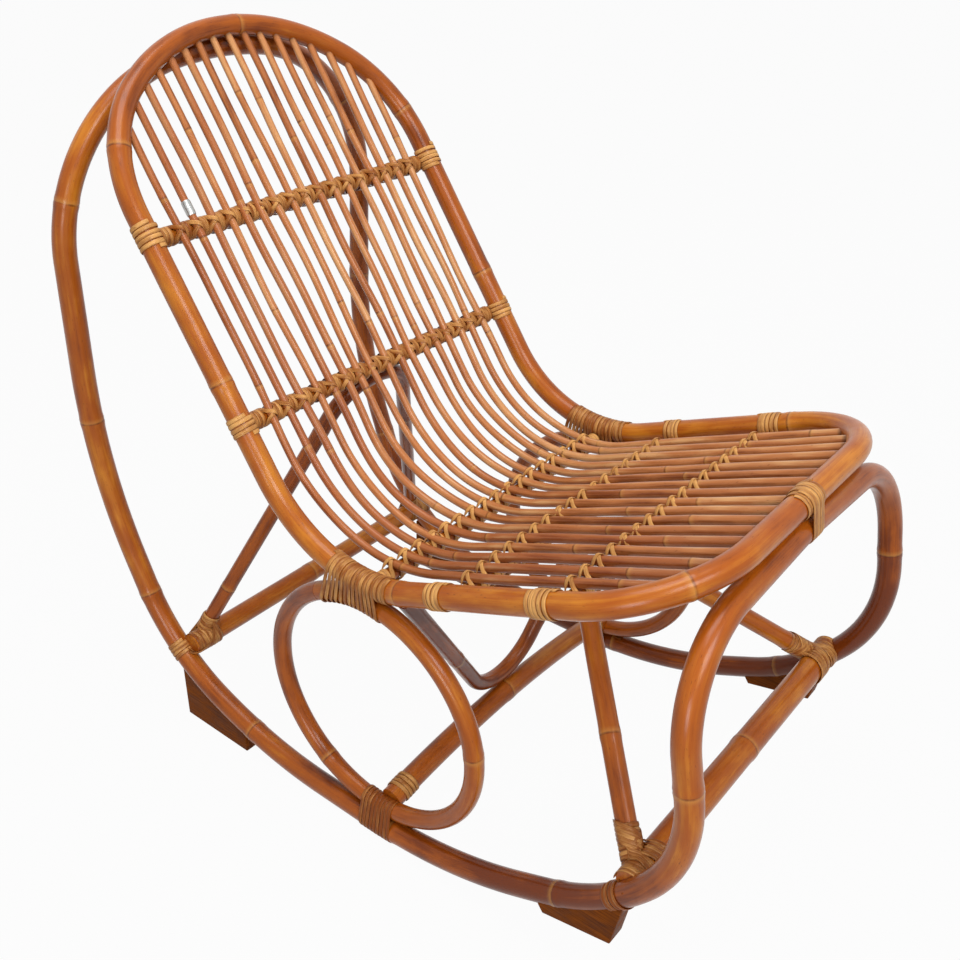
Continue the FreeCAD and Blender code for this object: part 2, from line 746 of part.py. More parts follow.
def bound(label, strips):
    """A node of bound cane, one solid for each strip."""
    feature = doc.addObject("Part::Feature", label)
    shapes = [strip("%s %d" % (label, i + 1), stations) for i, stations in enumerate(strips)]
    feature.Shape = shapes[0] if len(shapes) == 1 else Part.makeCompound(shapes)
    feature.Placement = Placement()
    return keep(feature, label)


# Hoops, with the holes for the slats and nails

holes = []
for index in range(SLATS):
    holes += slat_holes("hole_%02d" % (index + 1), slat_x(index))
seat_hoop = pole("seat_hoop_pole", SEAT_LINE, "seat_pole")
keep(cut(seat_hoop, holes + nail_holes("seat", "arch_nails", "front_rail_nails")), "seat_hoop")
rocker_hoop = pole("rocker_hoop_pole", ROCKER_LINE, "rocker_pole")
rocker_nails = nail_holes("rocker", "arch_nails", "front_rail_nails", "stretcher_nails", "block_nails")
keep(cut(rocker_hoop, rocker_nails), "rocker_hoop")

for index in range(SLATS):
    label = "slat_%02d" % (index + 1)
    keep(pole(label, slat_line(slat_x(index)), "slat_pole"), label)

for side, sign in SIDES:
    ring = doc.addObject("Part::Torus", "ring_" + side)
    ring.Radius1 = RING_RADIUS
    ring.setExpression("Radius2", "Sizes.ring_pole / 2")
    centre = Vector(sign * size("ring_x"), size("ring_y"), RING_Z)
    ring.Placement = Placement(centre, Rotation(UP, ACROSS))
    keep(ring, "ring_" + side)

# Rails and bars, coped to the cane round the seat hoop

for label, middle in RAILS.items():
    half = size("rear_bar_half" if label == "rear_seat_bar" else "bar_half")
    bar = cross_rod(label + "_rod", middle, half, "rail_pole")
    place = Vector(size("seat_half_width"), middle.y, middle.z)
    keep(cut(bar, saddles(label + "_cope", SEAT_LINE, place, BOUND_COPE % "seat_pole", "bar_cope")), label)

# Stretchers between the rockers and between the rings

for label in ("rear_stretcher", "front_stretcher"):
    middle = Vector(0, size(label + "_y"), size(label + "_z"))
    bar = cross_rod(label + "_rod", middle, size("stretcher_half"), label + "_pole")
    place = Vector(size("rocker_half_width"), middle.y, middle.z)
    tools = saddles(label + "_cope", ROCKER_LINE, place, BOUND_COPE % "rocker_pole", "stretcher_cope")
    keep(cut(bar, tools + nail_holes(label, "stretcher_nails")), label)

middle_top = Vector(0, size("middle_stretcher_y"), size("middle_stretcher_z"))
middle_end = middle_top - UP * size("middle_stretcher_drop") - ACROSS * size("middle_stretcher_half")
middle_arc = Part.Arc(middle_end, middle_top, mirrored(middle_end)).toShape()
middle_stretcher = pole("middle_stretcher_pole", [middle_arc], "middle_stretcher_pole")
ring_side = size("middle_stretcher_y") - size("ring_y")
ring_fall = math.sqrt(RING_RADIUS ** 2 - ring_side ** 2)
ring_foot = Vector(size("ring_x"), size("middle_stretcher_y"), RING_Z - ring_fall)
ring_way = unit(Vector(0, ring_fall, ring_side)) * size("bar_cope")
ring_cope = BOUND_COPE % "ring_pole" + " + Sizes.ring_room"
middle_room = [
    rod("middle_stretcher_cope_" + side, place - ring_way, place + ring_way, ring_cope)
    for side, place in (("right", mirrored(ring_foot)), ("left", ring_foot))]
keep(cut(middle_stretcher, middle_room), "middle_stretcher")

# Bent braces

def brace_seat(end, middle):
    """The room of a stretcher, taken out of the brace that stands on it."""
    seat = cross_rod(end + "_brace_seat", middle, size("rocker_half_width"), end + "_stretcher_pole")
    seat.setExpression("Radius", BARE_COPE % (end + "_stretcher_pole"))
    return seat


front_foot = Vector(-size("front_foot_x"), size("front_foot_y"), size("front_foot_z"))
front_apex = Vector(0, size("front_apex_y"), size("front_apex_z"))
front_line = rounded(
    [front_foot, front_apex, mirrored(front_foot)], [0.0, size("front_apex_radius"), 0.0])
front_middle = Vector(0, size("front_stretcher_y"), size("front_stretcher_z"))
front_room = [brace_seat("front", front_middle)]
front_room += saddles(
    "front_brace_cope", ROCKER_LINE, mirrored(front_foot), BOUND_COPE % "rocker_pole", "stretcher_cope")
front_brace = pole("front_brace_pole", front_line, "front_brace_pole")
keep(cut(front_brace, front_room), "front_brace")

rear_foot = Vector(-size("rear_foot_x"), size("rear_foot_y"), size("rear_foot_z"))
rear_apex = Vector(-size("rear_apex_x"), size("rear_apex_y"), size("rear_apex_z"))
rear_line = rounded(
    [rear_foot, rear_apex, mirrored(rear_apex), mirrored(rear_foot)],
    [0.0, size("rear_apex_radius"), size("rear_apex_radius"), 0.0])
rear_middle = Vector(0, size("rear_stretcher_y"), size("rear_stretcher_z"))
rear_brace = pole("rear_brace_pole", rear_line, "rear_brace_pole")
keep(cut(rear_brace, [brace_seat("rear", rear_middle)]), "rear_brace")

under_top = Vector(-size("under_top_x"), size("under_top_y"), size("under_top_z"))
under_foot = Vector(0, size("under_foot_y"), size("under_foot_z"))
under_line = rounded(
    [under_top, under_foot, mirrored(under_top)], [0.0, size("under_foot_radius"), 0.0])
under_place = Vector(size("seat_half_width"), size("under_top_y"), size("under_top_z"))
under_room = saddles("under_brace_cope", SEAT_LINE, under_place, BARE_COPE % "seat_pole", "bar_cope")
under_brace = pole("under_seat_brace_pole", under_line, "under_brace_pole")
keep(cut(under_brace, under_room), "under_seat_brace")

# Stop blocks, hollowed to the rocker and drilled for their nails

rocker_room = pole("rocker_room", ROCKER_LINE, "rocker_pole")
rocker_room.Sections[0].setExpression("Radius", BARE_COPE % "rocker_pole")
for side, sign in SIDES:
    for end, corners in (("rear", REAR_BLOCK), ("front", FRONT_BLOCK)):
        label = "%s_stop_block_%s" % (end, side)
        wedge = block(label + "_wedge", sign, corners)
        joint = FRONT_JOINT if end == "front" else REAR_JOINT
        relief = saddles(label + "_relief", ROCKER_LINE, joint, BOUND_COPE % "rocker_pole", "block_cope")
        keep(cut(wedge, [rocker_room] + relief + nail_holes(label, "block_nails")), label)

# Nails, in groups

for label, nails in NAILS.items():
    group = doc.addObject("Part::Compound", label)
    group.Links = pins(label, nails, "0")
    keep(group, label)

# Metal sleeve on one slat, and the slivers that fill the gap under the rings

sleeve_start = BEND + BACKWARD * (size("sleeve_along") - size("sleeve_length") / 2)
sleeve_start.x = slat_x(1)
sleeve_end = sleeve_start + BACKWARD * size("sleeve_length")
bore = "Sizes.slat_pole / 2 + Sizes.slip"
sleeve = rod("sleeve_body", sleeve_start, sleeve_end, bore + " + Sizes.sleeve_wall")
keep(cut(sleeve, [rod("sleeve_bore", sleeve_start, sleeve_end, bore)]), "metal_sleeve")

spacers = []
for side, sign in SIDES:
    spacer = doc.addObject("Part::Box", "ring_spacer_" + side)
    for edge, cell in (("Length", "spacer_width"), ("Width", "spacer_length"), ("Height", "spacer_height")):
        spacer.setExpression(edge, "Sizes." + cell)
    under = length_near(ROCKER_LINE, Vector(sign * size("rocker_half_width"), size("spacer_y"), 0))
    axis_point = at_length(ROCKER_LINE, under)[0]
    lift = size("rocker_pole") / 2 + size("ease")
    corner = Vector(sign * size("ring_x") - size("spacer_width") / 2, size("spacer_y"), axis_point.z + lift)
    spacer.Placement = Placement(corner, Rotation())
    spacers.append(spacer)
group = doc.addObject("Part::Compound", "ring_spacers")
group.Links = spacers
keep(group, "ring_spacers")

# Cane bindings round the seat hoop, at the ends of the rails and bars

PITCH = size("cane_pitch")


def hoop_binding(label, edges, diameter, target, count):
    """Turns round a hoop's pole on both sides of the chair, centred on a place."""
    strips = []
    for _, sign in SIDES:
        place = Vector(sign * target.x, target.y, target.z)
        first = length_near(edges, place) - count * PITCH / 2
        strips.append(turns_on(on_pole(edges, diameter), first, count, PITCH))
    bound(label, strips)


for label, rail, count in (
    ("upper_rail_end_bindings", "upper_back_rail", 5),
    ("lower_rail_end_bindings", "lower_back_rail", 4),
    ("middle_bar_end_bindings", "middle_seat_bar", 4),
    ("front_bar_end_bindings", "front_seat_bar", 5),
):
    place = RAILS[rail] + ACROSS * size("seat_half_width")
    hoop_binding(label, SEAT_LINE, "seat_pole", place, count)

# Long bindings that hold each ring to the bend of the seat, and the rings' feet to the rockers

BEND_TURNS = 16
BEND_BELTED = 13
FOOT_TURNS = 9
bend_strips = []
foot_strips = []
for _, sign in SIDES:
    low = Vector(sign * size("seat_half_width"), size("ring_y"), BEND_CENTRE.z - size("bend_radius"))
    contact = length_near(SEAT_LINE, low)
    away = -1 if sign < 0 else 1
    frame = on_pole_and_ring(SEAT_LINE, "seat_pole", sign)
    bend_strips.append(turns_on(frame, contact - away * size("bend_binding"), BEND_TURNS, away * PITCH, BEND_BELTED))
    foot = Vector(sign * size("rocker_half_width"), size("ring_y") - size("foot_binding"), 0)
    first = length_near(ROCKER_LINE, foot) - FOOT_TURNS * PITCH / 2
    frame = on_pole_and_ring(ROCKER_LINE, "rocker_pole", sign)
    foot_strips.append(turns_on(frame, first, FOOT_TURNS, PITCH, FOOT_TURNS))
bound("seat_bend_bindings", bend_strips)
bound("ring_foot_bindings", foot_strips)

# Bindings at the stretchers and braces

hoop_binding("front_joint_bindings", ROCKER_LINE, "rocker_pole", FRONT_JOINT, 4)
hoop_binding("rear_joint_bindings", ROCKER_LINE, "rocker_pole", REAR_JOINT, 4)


BAND_TURNS = 4


def rod_binding(label, start, end, diameter, first):
    """Turns round a straight pole and its mirror image."""
    strips = [
        turns_on(on_rod(start, end, diameter), first, BAND_TURNS, PITCH),
        turns_on(on_rod(mirrored(start), mirrored(end), diameter), first, BAND_TURNS, PITCH),
    ]
    bound(label, strips)


rod_binding("front_brace_foot_bindings", front_foot, front_apex, "front_brace_pole", size("front_band"))
rod_binding("rear_brace_foot_bindings", rear_foot, rear_apex, "rear_brace_pole", size("rear_band"))
band_start, band_way = at_length([middle_arc], size("middle_band"))
rod_binding("middle_stretcher_bindings", band_start, band_start + band_way, "middle_stretcher_pole", 0.0)

FRONT_TURNS = 3
FRONT_PITCH = size("front_pitch")
bound("front_centre_binding", [
    turns_on(on_front_rails(), sign * size("slat_pitch") / 2 - FRONT_TURNS * FRONT_PITCH / 2,
             FRONT_TURNS, FRONT_PITCH, FRONT_TURNS)
    for _, sign in SIDES])

# Lashings that tie the slats to the rails and bars

REAR_TURN = math.radians(size("rear_bar_deg"))
LASHED = (
    ("upper_rail_lashing", "upper_back_rail", BACK_FACE),
    ("lower_rail_lashing", "lower_back_rail", BACK_FACE),
    ("rear_bar_lashing", "rear_seat_bar", SEAT_FACE * math.cos(REAR_TURN) + FORWARD * math.sin(REAR_TURN)),
    ("middle_bar_lashing", "middle_seat_bar", SEAT_FACE),
    ("front_bar_lashing", "front_seat_bar", SEAT_FACE),
)
for label, rail, face in LASHED:
    bound(label, [lashing_stations(RAILS[rail], face)])

# Nothing is written until every piece is sound

doc.recompute()
for item in doc.Objects:
    if "Invalid" in item.State or "Error" in item.State:
        raise RuntimeError("%s failed: %s" % (item.Label, item.State))
for piece in pieces:
    if piece.Shape.isNull() or not piece.Shape.isValid() or not piece.Shape.Solids:
        raise RuntimeError("%s has no sound solid" % piece.Label)

os.makedirs("parts", exist_ok=True)
for piece in pieces:
    piece.Shape.exportStep("parts/%s.step" % piece.Label)
box = Part.makeCompound([piece.Shape for piece in pieces]).BoundBox
print("%d pieces, box %s" % (len(pieces), box))
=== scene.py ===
import math
import random

import bmesh
import bpy
import numpy as np
from mathutils import Euler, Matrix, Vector


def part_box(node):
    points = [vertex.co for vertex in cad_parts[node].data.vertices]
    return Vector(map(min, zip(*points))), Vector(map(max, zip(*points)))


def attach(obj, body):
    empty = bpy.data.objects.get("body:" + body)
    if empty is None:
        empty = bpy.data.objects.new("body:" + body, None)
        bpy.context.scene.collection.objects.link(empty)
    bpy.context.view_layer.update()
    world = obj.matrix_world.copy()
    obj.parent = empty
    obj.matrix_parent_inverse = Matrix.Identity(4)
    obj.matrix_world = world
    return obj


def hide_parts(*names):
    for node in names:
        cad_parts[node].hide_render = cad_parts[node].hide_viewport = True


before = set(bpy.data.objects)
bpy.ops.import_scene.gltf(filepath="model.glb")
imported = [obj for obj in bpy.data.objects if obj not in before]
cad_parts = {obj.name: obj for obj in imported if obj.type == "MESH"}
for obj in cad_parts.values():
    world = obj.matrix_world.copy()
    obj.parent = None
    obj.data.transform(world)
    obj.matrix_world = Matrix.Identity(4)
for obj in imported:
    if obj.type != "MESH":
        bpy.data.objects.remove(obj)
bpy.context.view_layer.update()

# Rattan rocking chair. Lengths are millimetres until a mesh is made, and metres for the floor, the lamps
# and the camera. +Z is up and the sitter faces -Y.
# The poles and slats keep their bark, with a knuckle at every joint of the plant, and are varnished.
# Flat strips of cane bind the poles where they cross.

MM = 0.001
ACROSS = np.array((1.0, 0.0, 0.0))

SEAT_POLE = 30.0
ARCH_POLE = 26.0
ROCKER_POLE = 31.0
PROP_POLE = 28.0
PROP_LOWER_POLE = 32.5
RING_POLE = 25.0
FRONT_STRETCHER_POLE = 36.0
MIDDLE_STRETCHER_POLE = 32.0
REAR_STRETCHER_POLE = 31.0
FRONT_BRACE_POLE = 25.5
REAR_BRACE_POLE = 22.0
UNDER_BRACE_POLE = 23.0
RAIL_POLE = 18.0

# The back rails are drawn this much fuller all round, for the layers of cane on them
RAIL_BULK = 1.8

SLAT_POLE = 10.5
SLATS = 17
SLAT_PITCH = 26.2
SLEEVED = 1

CANE_WIDTH = 5.7
CANE_THICK = 1.5
CANE_PITCH = 6.2
SOCK_PITCH = 5.4

RECLINE = math.radians(33.54)
SLOPE = math.radians(21.55)
BEND = np.array((0.0, 41.7, 369.5))
BEND_RADIUS = 194.0
SEAT_HALF = 258.6
SEAT_DEPTH = 531.2
ROCKER_HALF = 265.8
PROP_HALF = 272.8
FRONT_RAIL_Y = -458.2
FRONT_RAIL_Z = 533.2
BACKWARD = np.array((0.0, math.sin(RECLINE), math.cos(RECLINE)))
FORWARD = np.array((0.0, -math.cos(SLOPE), math.sin(SLOPE)))
BACK_FACE = np.array((0.0, -math.cos(RECLINE), math.sin(RECLINE)))
SEAT_FACE = np.array((0.0, math.sin(SLOPE), math.cos(SLOPE)))
REAR_BAR_TURN = math.radians(22.0)
REAR_BAR_FACE = SEAT_FACE * math.cos(REAR_BAR_TURN) + FORWARD * math.sin(REAR_BAR_TURN)


# Centre lines

def unit(vector):
    vector = np.asarray(vector, float)
    return vector / np.linalg.norm(vector)


def mirrored(points):
    return np.asarray(points, float) * (-1.0, 1.0, 1.0)


def travelled(points):
    """Length from the first point to each point of a line."""
    steps = np.linalg.norm(np.diff(points, axis=0), axis=1)
    return np.concatenate(([0.0], np.cumsum(steps)))


def unit_rows(vectors):
    return vectors / np.linalg.norm(vectors, axis=1)[:, None]


def between(asked, lengths, values):
    """What a line's values are at lengths along it."""
    return np.stack([np.interp(asked, lengths, column) for column in values.T], axis=-1)


def spaced(points, step):
    """The same line, with its points an even step apart."""
    points = np.asarray(points, float)
    lengths = travelled(points)
    places = np.linspace(0.0, lengths[-1], max(2, round(lengths[-1] / step) + 1))
    return between(places, lengths, points)


def rounded(corners, radii):
    """Points along straight runs and tangent arcs. A corner with no radius takes the largest arc."""
    corners = [np.asarray(corner, float) for corner in corners]
    last = len(corners) - 1
    turns = [0.0] * (last + 1)
    reach = [0.0] * (last + 1)
    for i in range(1, last):
        cosine = unit(corners[i] - corners[i - 1]) @ unit(corners[i + 1] - corners[i])
        turns[i] = math.acos(cosine)
        if radii[i] is not None:
            reach[i] = radii[i] * math.tan(turns[i] / 2)
    for i in range(1, last):
        if radii[i] is None:
            room = []
            for other in (i - 1, i + 1):
                run = np.linalg.norm(corners[i] - corners[other])
                room.append(run / 2 if radii[other] is None else run - reach[other])
            reach[i] = min(room)
    points = [corners[0]]
    for i in range(1, last):
        back = unit(corners[i - 1] - corners[i])
        ahead = unit(corners[i + 1] - corners[i])
        radius = reach[i] / math.tan(turns[i] / 2)
        centre = corners[i] + unit(back + ahead) * radius / math.cos(turns[i] / 2)
        spoke = unit(corners[i] + back * reach[i] - centre)
        for angle in np.linspace(0.0, turns[i], 2 + int(turns[i] * radius)):
            points.append(centre + radius * (spoke * math.cos(angle) - back * math.sin(angle)))
    points.append(corners[-1])
    return np.array(points)


def smooth(stations, step=2.5):
    """A smooth line through stations of place and outward way."""
    places = np.array([place for place, _ in stations], float)
    ways = np.array([way for _, way in stations], float)
    knots = travelled(places)
    slopes = np.gradient(places, knots, axis=0)
    asked = np.linspace(0.0, knots[-1], round(knots[-1] / step) + 1)
    span = np.clip(np.searchsorted(knots, asked, side="right") - 1, 0, len(knots) - 2)
    width = (knots[span + 1] - knots[span])[:, None]
    t = (asked - knots[span])[:, None] / width
    line = ((2 * t ** 3 - 3 * t ** 2 + 1) * places[span] + (t ** 3 - 2 * t ** 2 + t) * width * slopes[span]
            + (3 * t ** 2 - 2 * t ** 3) * places[span + 1] + (t ** 3 - t ** 2) * width * slopes[span + 1])
    return line, between(asked, knots, ways)


class Axis:
    """Centre line of a pole, as points an even step apart."""

    def __init__(self, points, step=3.0):
        self.points = spaced(points, step)
        self.lengths = travelled(self.points)
        self.length = self.lengths[-1]
        self.ways = unit_rows(np.gradient(self.points, axis=0))

    def at(self, length):
        """Point and heading at a length along the line."""
        way = between(length, self.lengths, self.ways)
        return between(length, self.lengths, self.points), unit(way)

    def near(self, target):
        """Length to the place nearest a point."""
        return self.lengths[np.argmin(np.linalg.norm(self.points - np.asarray(target), axis=1))]


def middle_of(node):
    """Middle of a node of the frame, in millimetres."""
    low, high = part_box(node)
    return np.array((low + high) / 2) / MM


def seat_axis():
    """Seat hoop: from the middle of the front rail, round the back's arch, to it again."""
    half_back = 254.3
    front = BEND + FORWARD * SEAT_DEPTH
    half = [
        front - ACROSS * SEAT_HALF,
        BEND - ACROSS * SEAT_HALF,
        BEND + BACKWARD * 600.1 - ACROSS * half_back,
    ]
    crown = BEND + BACKWARD * 796.2
    seam = front + ACROSS * SLAT_PITCH / 2
    radii = [133.0, BEND_RADIUS, 195.0]
    corners = [seam] + half + [crown] + [mirrored(corner) for corner in half[::-1]] + [seam]
    return Axis(rounded(corners, [0.0] + radii + [None] + radii[::-1] + [0.0]))


def rocker_axis():
    """Rocker hoop: front rail, legs, rockers and the prop behind the back."""
    wide = -ROCKER_HALF
    prop = -PROP_HALF
    low = 18.8
    half = [
        (-0.15, FRONT_RAIL_Y, FRONT_RAIL_Z),
        (wide, -457.4, 514.5),
        (wide, -499.6, 271.5),
        (wide, -399.3, 128.0),
        (wide, -158.7, low),
        (wide, 184.5, low),
        ((wide + prop) / 2, 388.4, 109.5),
        (prop, 497.7, 395.8),
        (prop, 457.7, 906.4),
    ]
    crown = (0.0, 453.8, 947.3)
    radii = [0.0, 121.0] + [None] * 6 + [236.0]
    corners = half + [crown] + [mirrored(corner) for corner in half[::-1]]
    return Axis(rounded(corners, radii + [None] + radii[::-1]))


SEAT_AXIS = seat_axis()
ROCKER_AXIS = rocker_axis()
RING_LOW, RING_HIGH = (np.array(corner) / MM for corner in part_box("ring_right"))
RING_CENTRE = (RING_LOW + RING_HIGH) / 2
RING_RADIUS = (RING_HIGH[2] - RING_LOW[2] - RING_POLE) / 2
RAIL_DROP = (SLAT_POLE + RAIL_POLE) / 2 + 0.3


def ring_axis(sign):
    """A side ring, from its splice at the top rear round to it again."""
    centre = RING_CENTRE * (-sign, 1.0, 1.0)
    splice = math.radians(62.0)
    gap = 0.002
    angles = splice + np.linspace(gap, 2 * math.pi - gap, 361)
    around = [centre + RING_RADIUS * np.array((0.0, math.cos(a), math.sin(a))) for a in angles]
    return Axis(around)


def reach_at(x, way):
    """How far the seat hoop is from the bend, along a line of the seat or back."""
    far = (SEAT_AXIS.points - BEND) @ way
    outer = SEAT_AXIS.points[far > 0.6 * far.max()]
    order = np.argsort(outer[:, 0])
    return np.interp(x, outer[order, 0], ((outer - BEND) @ way)[order])


def slat_axis(index):
    """A slat: from the arch, round the bend, to the front rail. It strays a little, as canes do."""
    x = (index - (SLATS - 1) / 2) * SLAT_PITCH
    corner = BEND + ACROSS * x
    top = corner + BACKWARD * reach_at(x, BACKWARD)
    front = corner + FORWARD * reach_at(x, FORWARD)
    step = 4.0
    line = spaced(rounded([top, corner, front], [0.0, BEND_RADIUS, 0.0]), step)
    draw = random.Random(300 + index)
    lengths = travelled(line)
    stray = np.zeros(len(line))
    for wave, reach in ((410.0, 2.2), (190.0, 0.9)):
        stray += reach * np.sin(2 * math.pi * (lengths / wave + draw.random()))
    if index == SLEEVED:
        stray *= 0.0
    line[:, 0] += stray * np.sin(math.pi * lengths / lengths[-1]) ** 0.5
    return Axis(line, step)


def bent_axis(corners, radius):
    """A brace of straight runs, bent at every corner between its ends."""
    return Axis(rounded(corners, [0.0] + [radius] * (len(corners) - 2) + [0.0]))


def cross_axis(node, half):
    """A straight pole across the chair, where the frame has it."""
    middle = middle_of(node)
    return Axis([middle - ACROSS * half, middle + ACROSS * half])


# Nodes

def add(tree, kind, inputs=None, **settings):
    """A node with its settings, and its inputs set to values or linked to sockets."""
    made = tree.nodes.new(kind)
    for name, value in settings.items():
        setattr(made, name, value)
    for name, value in (inputs or {}).items():
        if isinstance(value, bpy.types.NodeSocket):
            tree.links.new(value, made.inputs[name])
        else:
            made.inputs[name].default_value = value
    return made


def new_tree(name, sockets):
    """An empty geometry tree with named inputs."""
    tree = bpy.data.node_groups.new(name, "GeometryNodeTree")
    tree.interface.new_socket("Line", in_out="INPUT", socket_type="NodeSocketGeometry")
    for socket, kind in sockets:
        tree.interface.new_socket(socket, in_out="INPUT", socket_type="NodeSocket" + kind)
    tree.interface.new_socket("Piece", in_out="OUTPUT", socket_type="NodeSocketGeometry")
    return tree, add(tree, "NodeGroupInput")


def carried(tree, name, kind):
    """A named value that the points of a line or a section carry."""
    return add(tree, "GeometryNodeInputNamedAttribute", {"Name": name}, data_type=kind).outputs[0]


def circle(tree, sides, radius):
    """A round section."""
    return add(tree, "GeometryNodeCurvePrimitiveCircle", {"Resolution": sides, "Radius": radius}).outputs[0]


def sweep_section(tree, line, section, finish):
    """Ends a tree: a section swept along a line, with a grain that runs along it."""
    place = add(tree, "GeometryNodeInputPosition")
    marked = add(tree, "GeometryNodeStoreNamedAttribute",
                 {"Geometry": section, "Name": "side", "Value": place.outputs[0]},
                 data_type="FLOAT_VECTOR", domain="POINT")
    thick = carried(tree, "thickness", "FLOAT")
    swept = add(tree, "GeometryNodeCurveToMesh", {
        "Curve": line, "Profile Curve": marked.outputs[0], "Scale": thick, "Fill Caps": True})
    side = carried(tree, "side", "FLOAT_VECTOR")
    along = carried(tree, "along", "FLOAT")
    wide = add(tree, "ShaderNodeVectorMath", {0: side, "Scale": thick}, operation="SCALE")
    parts = add(tree, "ShaderNodeSeparateXYZ", {0: wide.outputs[0]}).outputs
    grain = add(tree, "ShaderNodeCombineXYZ", {0: parts[0], 1: parts[1], 2: along})
    grained = add(tree, "GeometryNodeStoreNamedAttribute",
                  {"Geometry": swept.outputs[0], "Name": "grain", "Value": grain.outputs[0]},
                  data_type="FLOAT_VECTOR", domain="POINT")
    real = add(tree, "GeometryNodeRealizeInstances", {0: grained.outputs[0]})
    painted = add(tree, "GeometryNodeSetMaterial", {"Geometry": real.outputs[0], "Material": finish})
    add(tree, "NodeGroupOutput", {0: painted.outputs[0]})


def pole_tree():
    """A round pole along a line, as thick at each point as that point says."""
    tree, given = new_tree("round pole", (("Sides", "Int"), ("Finish", "Material")))
    line = add(tree, "GeometryNodeMeshToCurve", {0: given.outputs["Line"]})
    section = circle(tree, given.outputs["Sides"], 1.0)
    sweep_section(tree, line.outputs[0], section, given.outputs["Finish"])
    return tree


def strip_tree():
    """A flat strip of cane along a line, its rounded face turned outwards."""
    tree, given = new_tree("cane strip", (
        ("Width", "Float"), ("Thickness", "Float"), ("Sides", "Int"), ("Finish", "Material")))
    outward = carried(tree, "outward", "FLOAT_VECTOR")
    line = add(tree, "GeometryNodeMeshToCurve", {0: given.outputs["Line"]})
    turned = add(tree, "GeometryNodeSetCurveNormal",
                 {"Curve": line.outputs[0], "Normal": outward}, mode="FREE")
    section = circle(tree, given.outputs["Sides"], 0.5)
    scale = add(tree, "ShaderNodeCombineXYZ",
                {0: given.outputs["Thickness"], 1: given.outputs["Width"], 2: 1.0})
    flat = add(tree, "GeometryNodeTransform", {"Geometry": section, "Scale": scale.outputs[0]})
    sweep_section(tree, turned.outputs[0], flat.outputs[0], given.outputs["Finish"])
    return tree


SWEPT_CREASE = math.radians(50.0)


def placed(name, data):
    """A new object in the scene."""
    made = bpy.data.objects.new(name, data)
    bpy.context.scene.collection.objects.link(made)
    return made


def swept(name, tree, runs, settings):
    """A piece from lines of points, each a dictionary of arrays, through a geometry tree."""
    counts = [len(run["place"]) for run in runs]
    starts = np.concatenate(([0], np.cumsum(counts)[:-1]))
    edges = [(start + i, start + i + 1) for start, count in zip(starts, counts) for i in range(count - 1)]
    places = np.concatenate([run["place"] for run in runs]) * MM
    mesh = bpy.data.meshes.new(name + "_line")
    mesh.from_pydata(places.tolist(), edges, [])
    for key in runs[0]:
        if key == "place":
            continue
        values = np.concatenate([run[key] for run in runs]).astype(np.float32)
        kind, field = ("FLOAT_VECTOR", "vector") if values.ndim == 2 else ("FLOAT", "value")
        mesh.attributes.new(key, kind, "POINT").data.foreach_set(field, values.ravel())
    line = placed(name + "_line", mesh)
    modifier = line.modifiers.new("sweep", "NODES")
    modifier.node_group = tree
    for item in tree.interface.items_tree:
        if item.in_out == "INPUT" and item.name in settings:
            modifier[item.identifier] = settings[item.name]
    depsgraph = bpy.context.evaluated_depsgraph_get()
    shape = bpy.data.meshes.new_from_object(line.evaluated_get(depsgraph))
    line.modifiers.remove(modifier)
    bpy.data.objects.remove(line)
    shape.shade_smooth()
    shape.set_sharp_from_angle(angle=SWEPT_CREASE)
    return placed(name, shape)


def dress(piece, slot, *nodes):
    """A finished piece rides on the chair and stands for its nodes."""
    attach(piece, "root")
    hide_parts(*nodes)


# Materials

def colour(code):
    """Linear colour of an sRGB hex value."""
    channels = [int(code[i:i + 2], 16) / 255 for i in (1, 3, 5)]
    return (*[c / 12.92 if c <= 0.04045 else ((c + 0.055) / 1.055) ** 2.4 for c in channels], 1.0)


def new_material(name):
    material = bpy.data.materials.new(name)
    material.use_nodes = True
    material.node_tree.nodes.clear()
    return material, material.node_tree


def patterns(tree, vector, sizes):
    """Noise for each named pattern, from its size across and along the grain in millimetres."""
    made = {}
    for key, (across, along, detail) in sizes.items():
        scale = (1 / (across * MM), 1 / (across * MM), 1 / (along * MM))
        place = add(tree, "ShaderNodeMapping", {"Vector": vector, "Scale": scale})
        settings = {"Vector": place.outputs[0], "Scale": 1.0, "Detail": detail}
        made[key] = add(tree, "ShaderNodeTexNoise", settings).outputs[0]
    return made


def attribute(tree, name, output="Fac"):
    """A named value that a piece carries at each of its points."""
    return add(tree, "ShaderNodeAttribute", attribute_name=name).outputs[output]


def reckoned(tree, operation, *values):
    """A sum on numbers or sockets."""
    return add(tree, "ShaderNodeMath", dict(enumerate(values)), operation=operation).outputs[0]


def mixed(tree, first, second, share):
    """One colour laid over another."""
    made = add(tree, "ShaderNodeMix", {0: share, 6: first, 7: second}, data_type="RGBA")
    return made.outputs[2]


def summed(tree, base, terms):
    """A base number with weighted sockets added to it."""
    total = base
    for socket, weight in terms:
        total = reckoned(tree, "MULTIPLY_ADD", socket, weight, total)
    return total


def ranged(tree, value, low, high, start=0.0, end=1.0):
    """A value brought from one range to another, smoothly and clamped."""
    made = add(tree, "ShaderNodeMapRange",
               {"Value": value, "From Min": low, "From Max": high, "To Min": start, "To Max": end},
               interpolation_type="SMOOTHSTEP")
    return made.outputs[0]


def roughened(tree, height, strength, depth):
    """Normals that follow a fine pattern."""
    made = add(tree, "ShaderNodeBump", {"Strength": strength, "Distance": depth * MM, "Height": height})
    return made.outputs[0]


def coated(tree, inputs):
    """Ends a material with one shader for the whole surface."""
    shader = add(tree, "ShaderNodeBsdfPrincipled", inputs)
    add(tree, "ShaderNodeOutputMaterial", {"Surface": shader.outputs[0]})


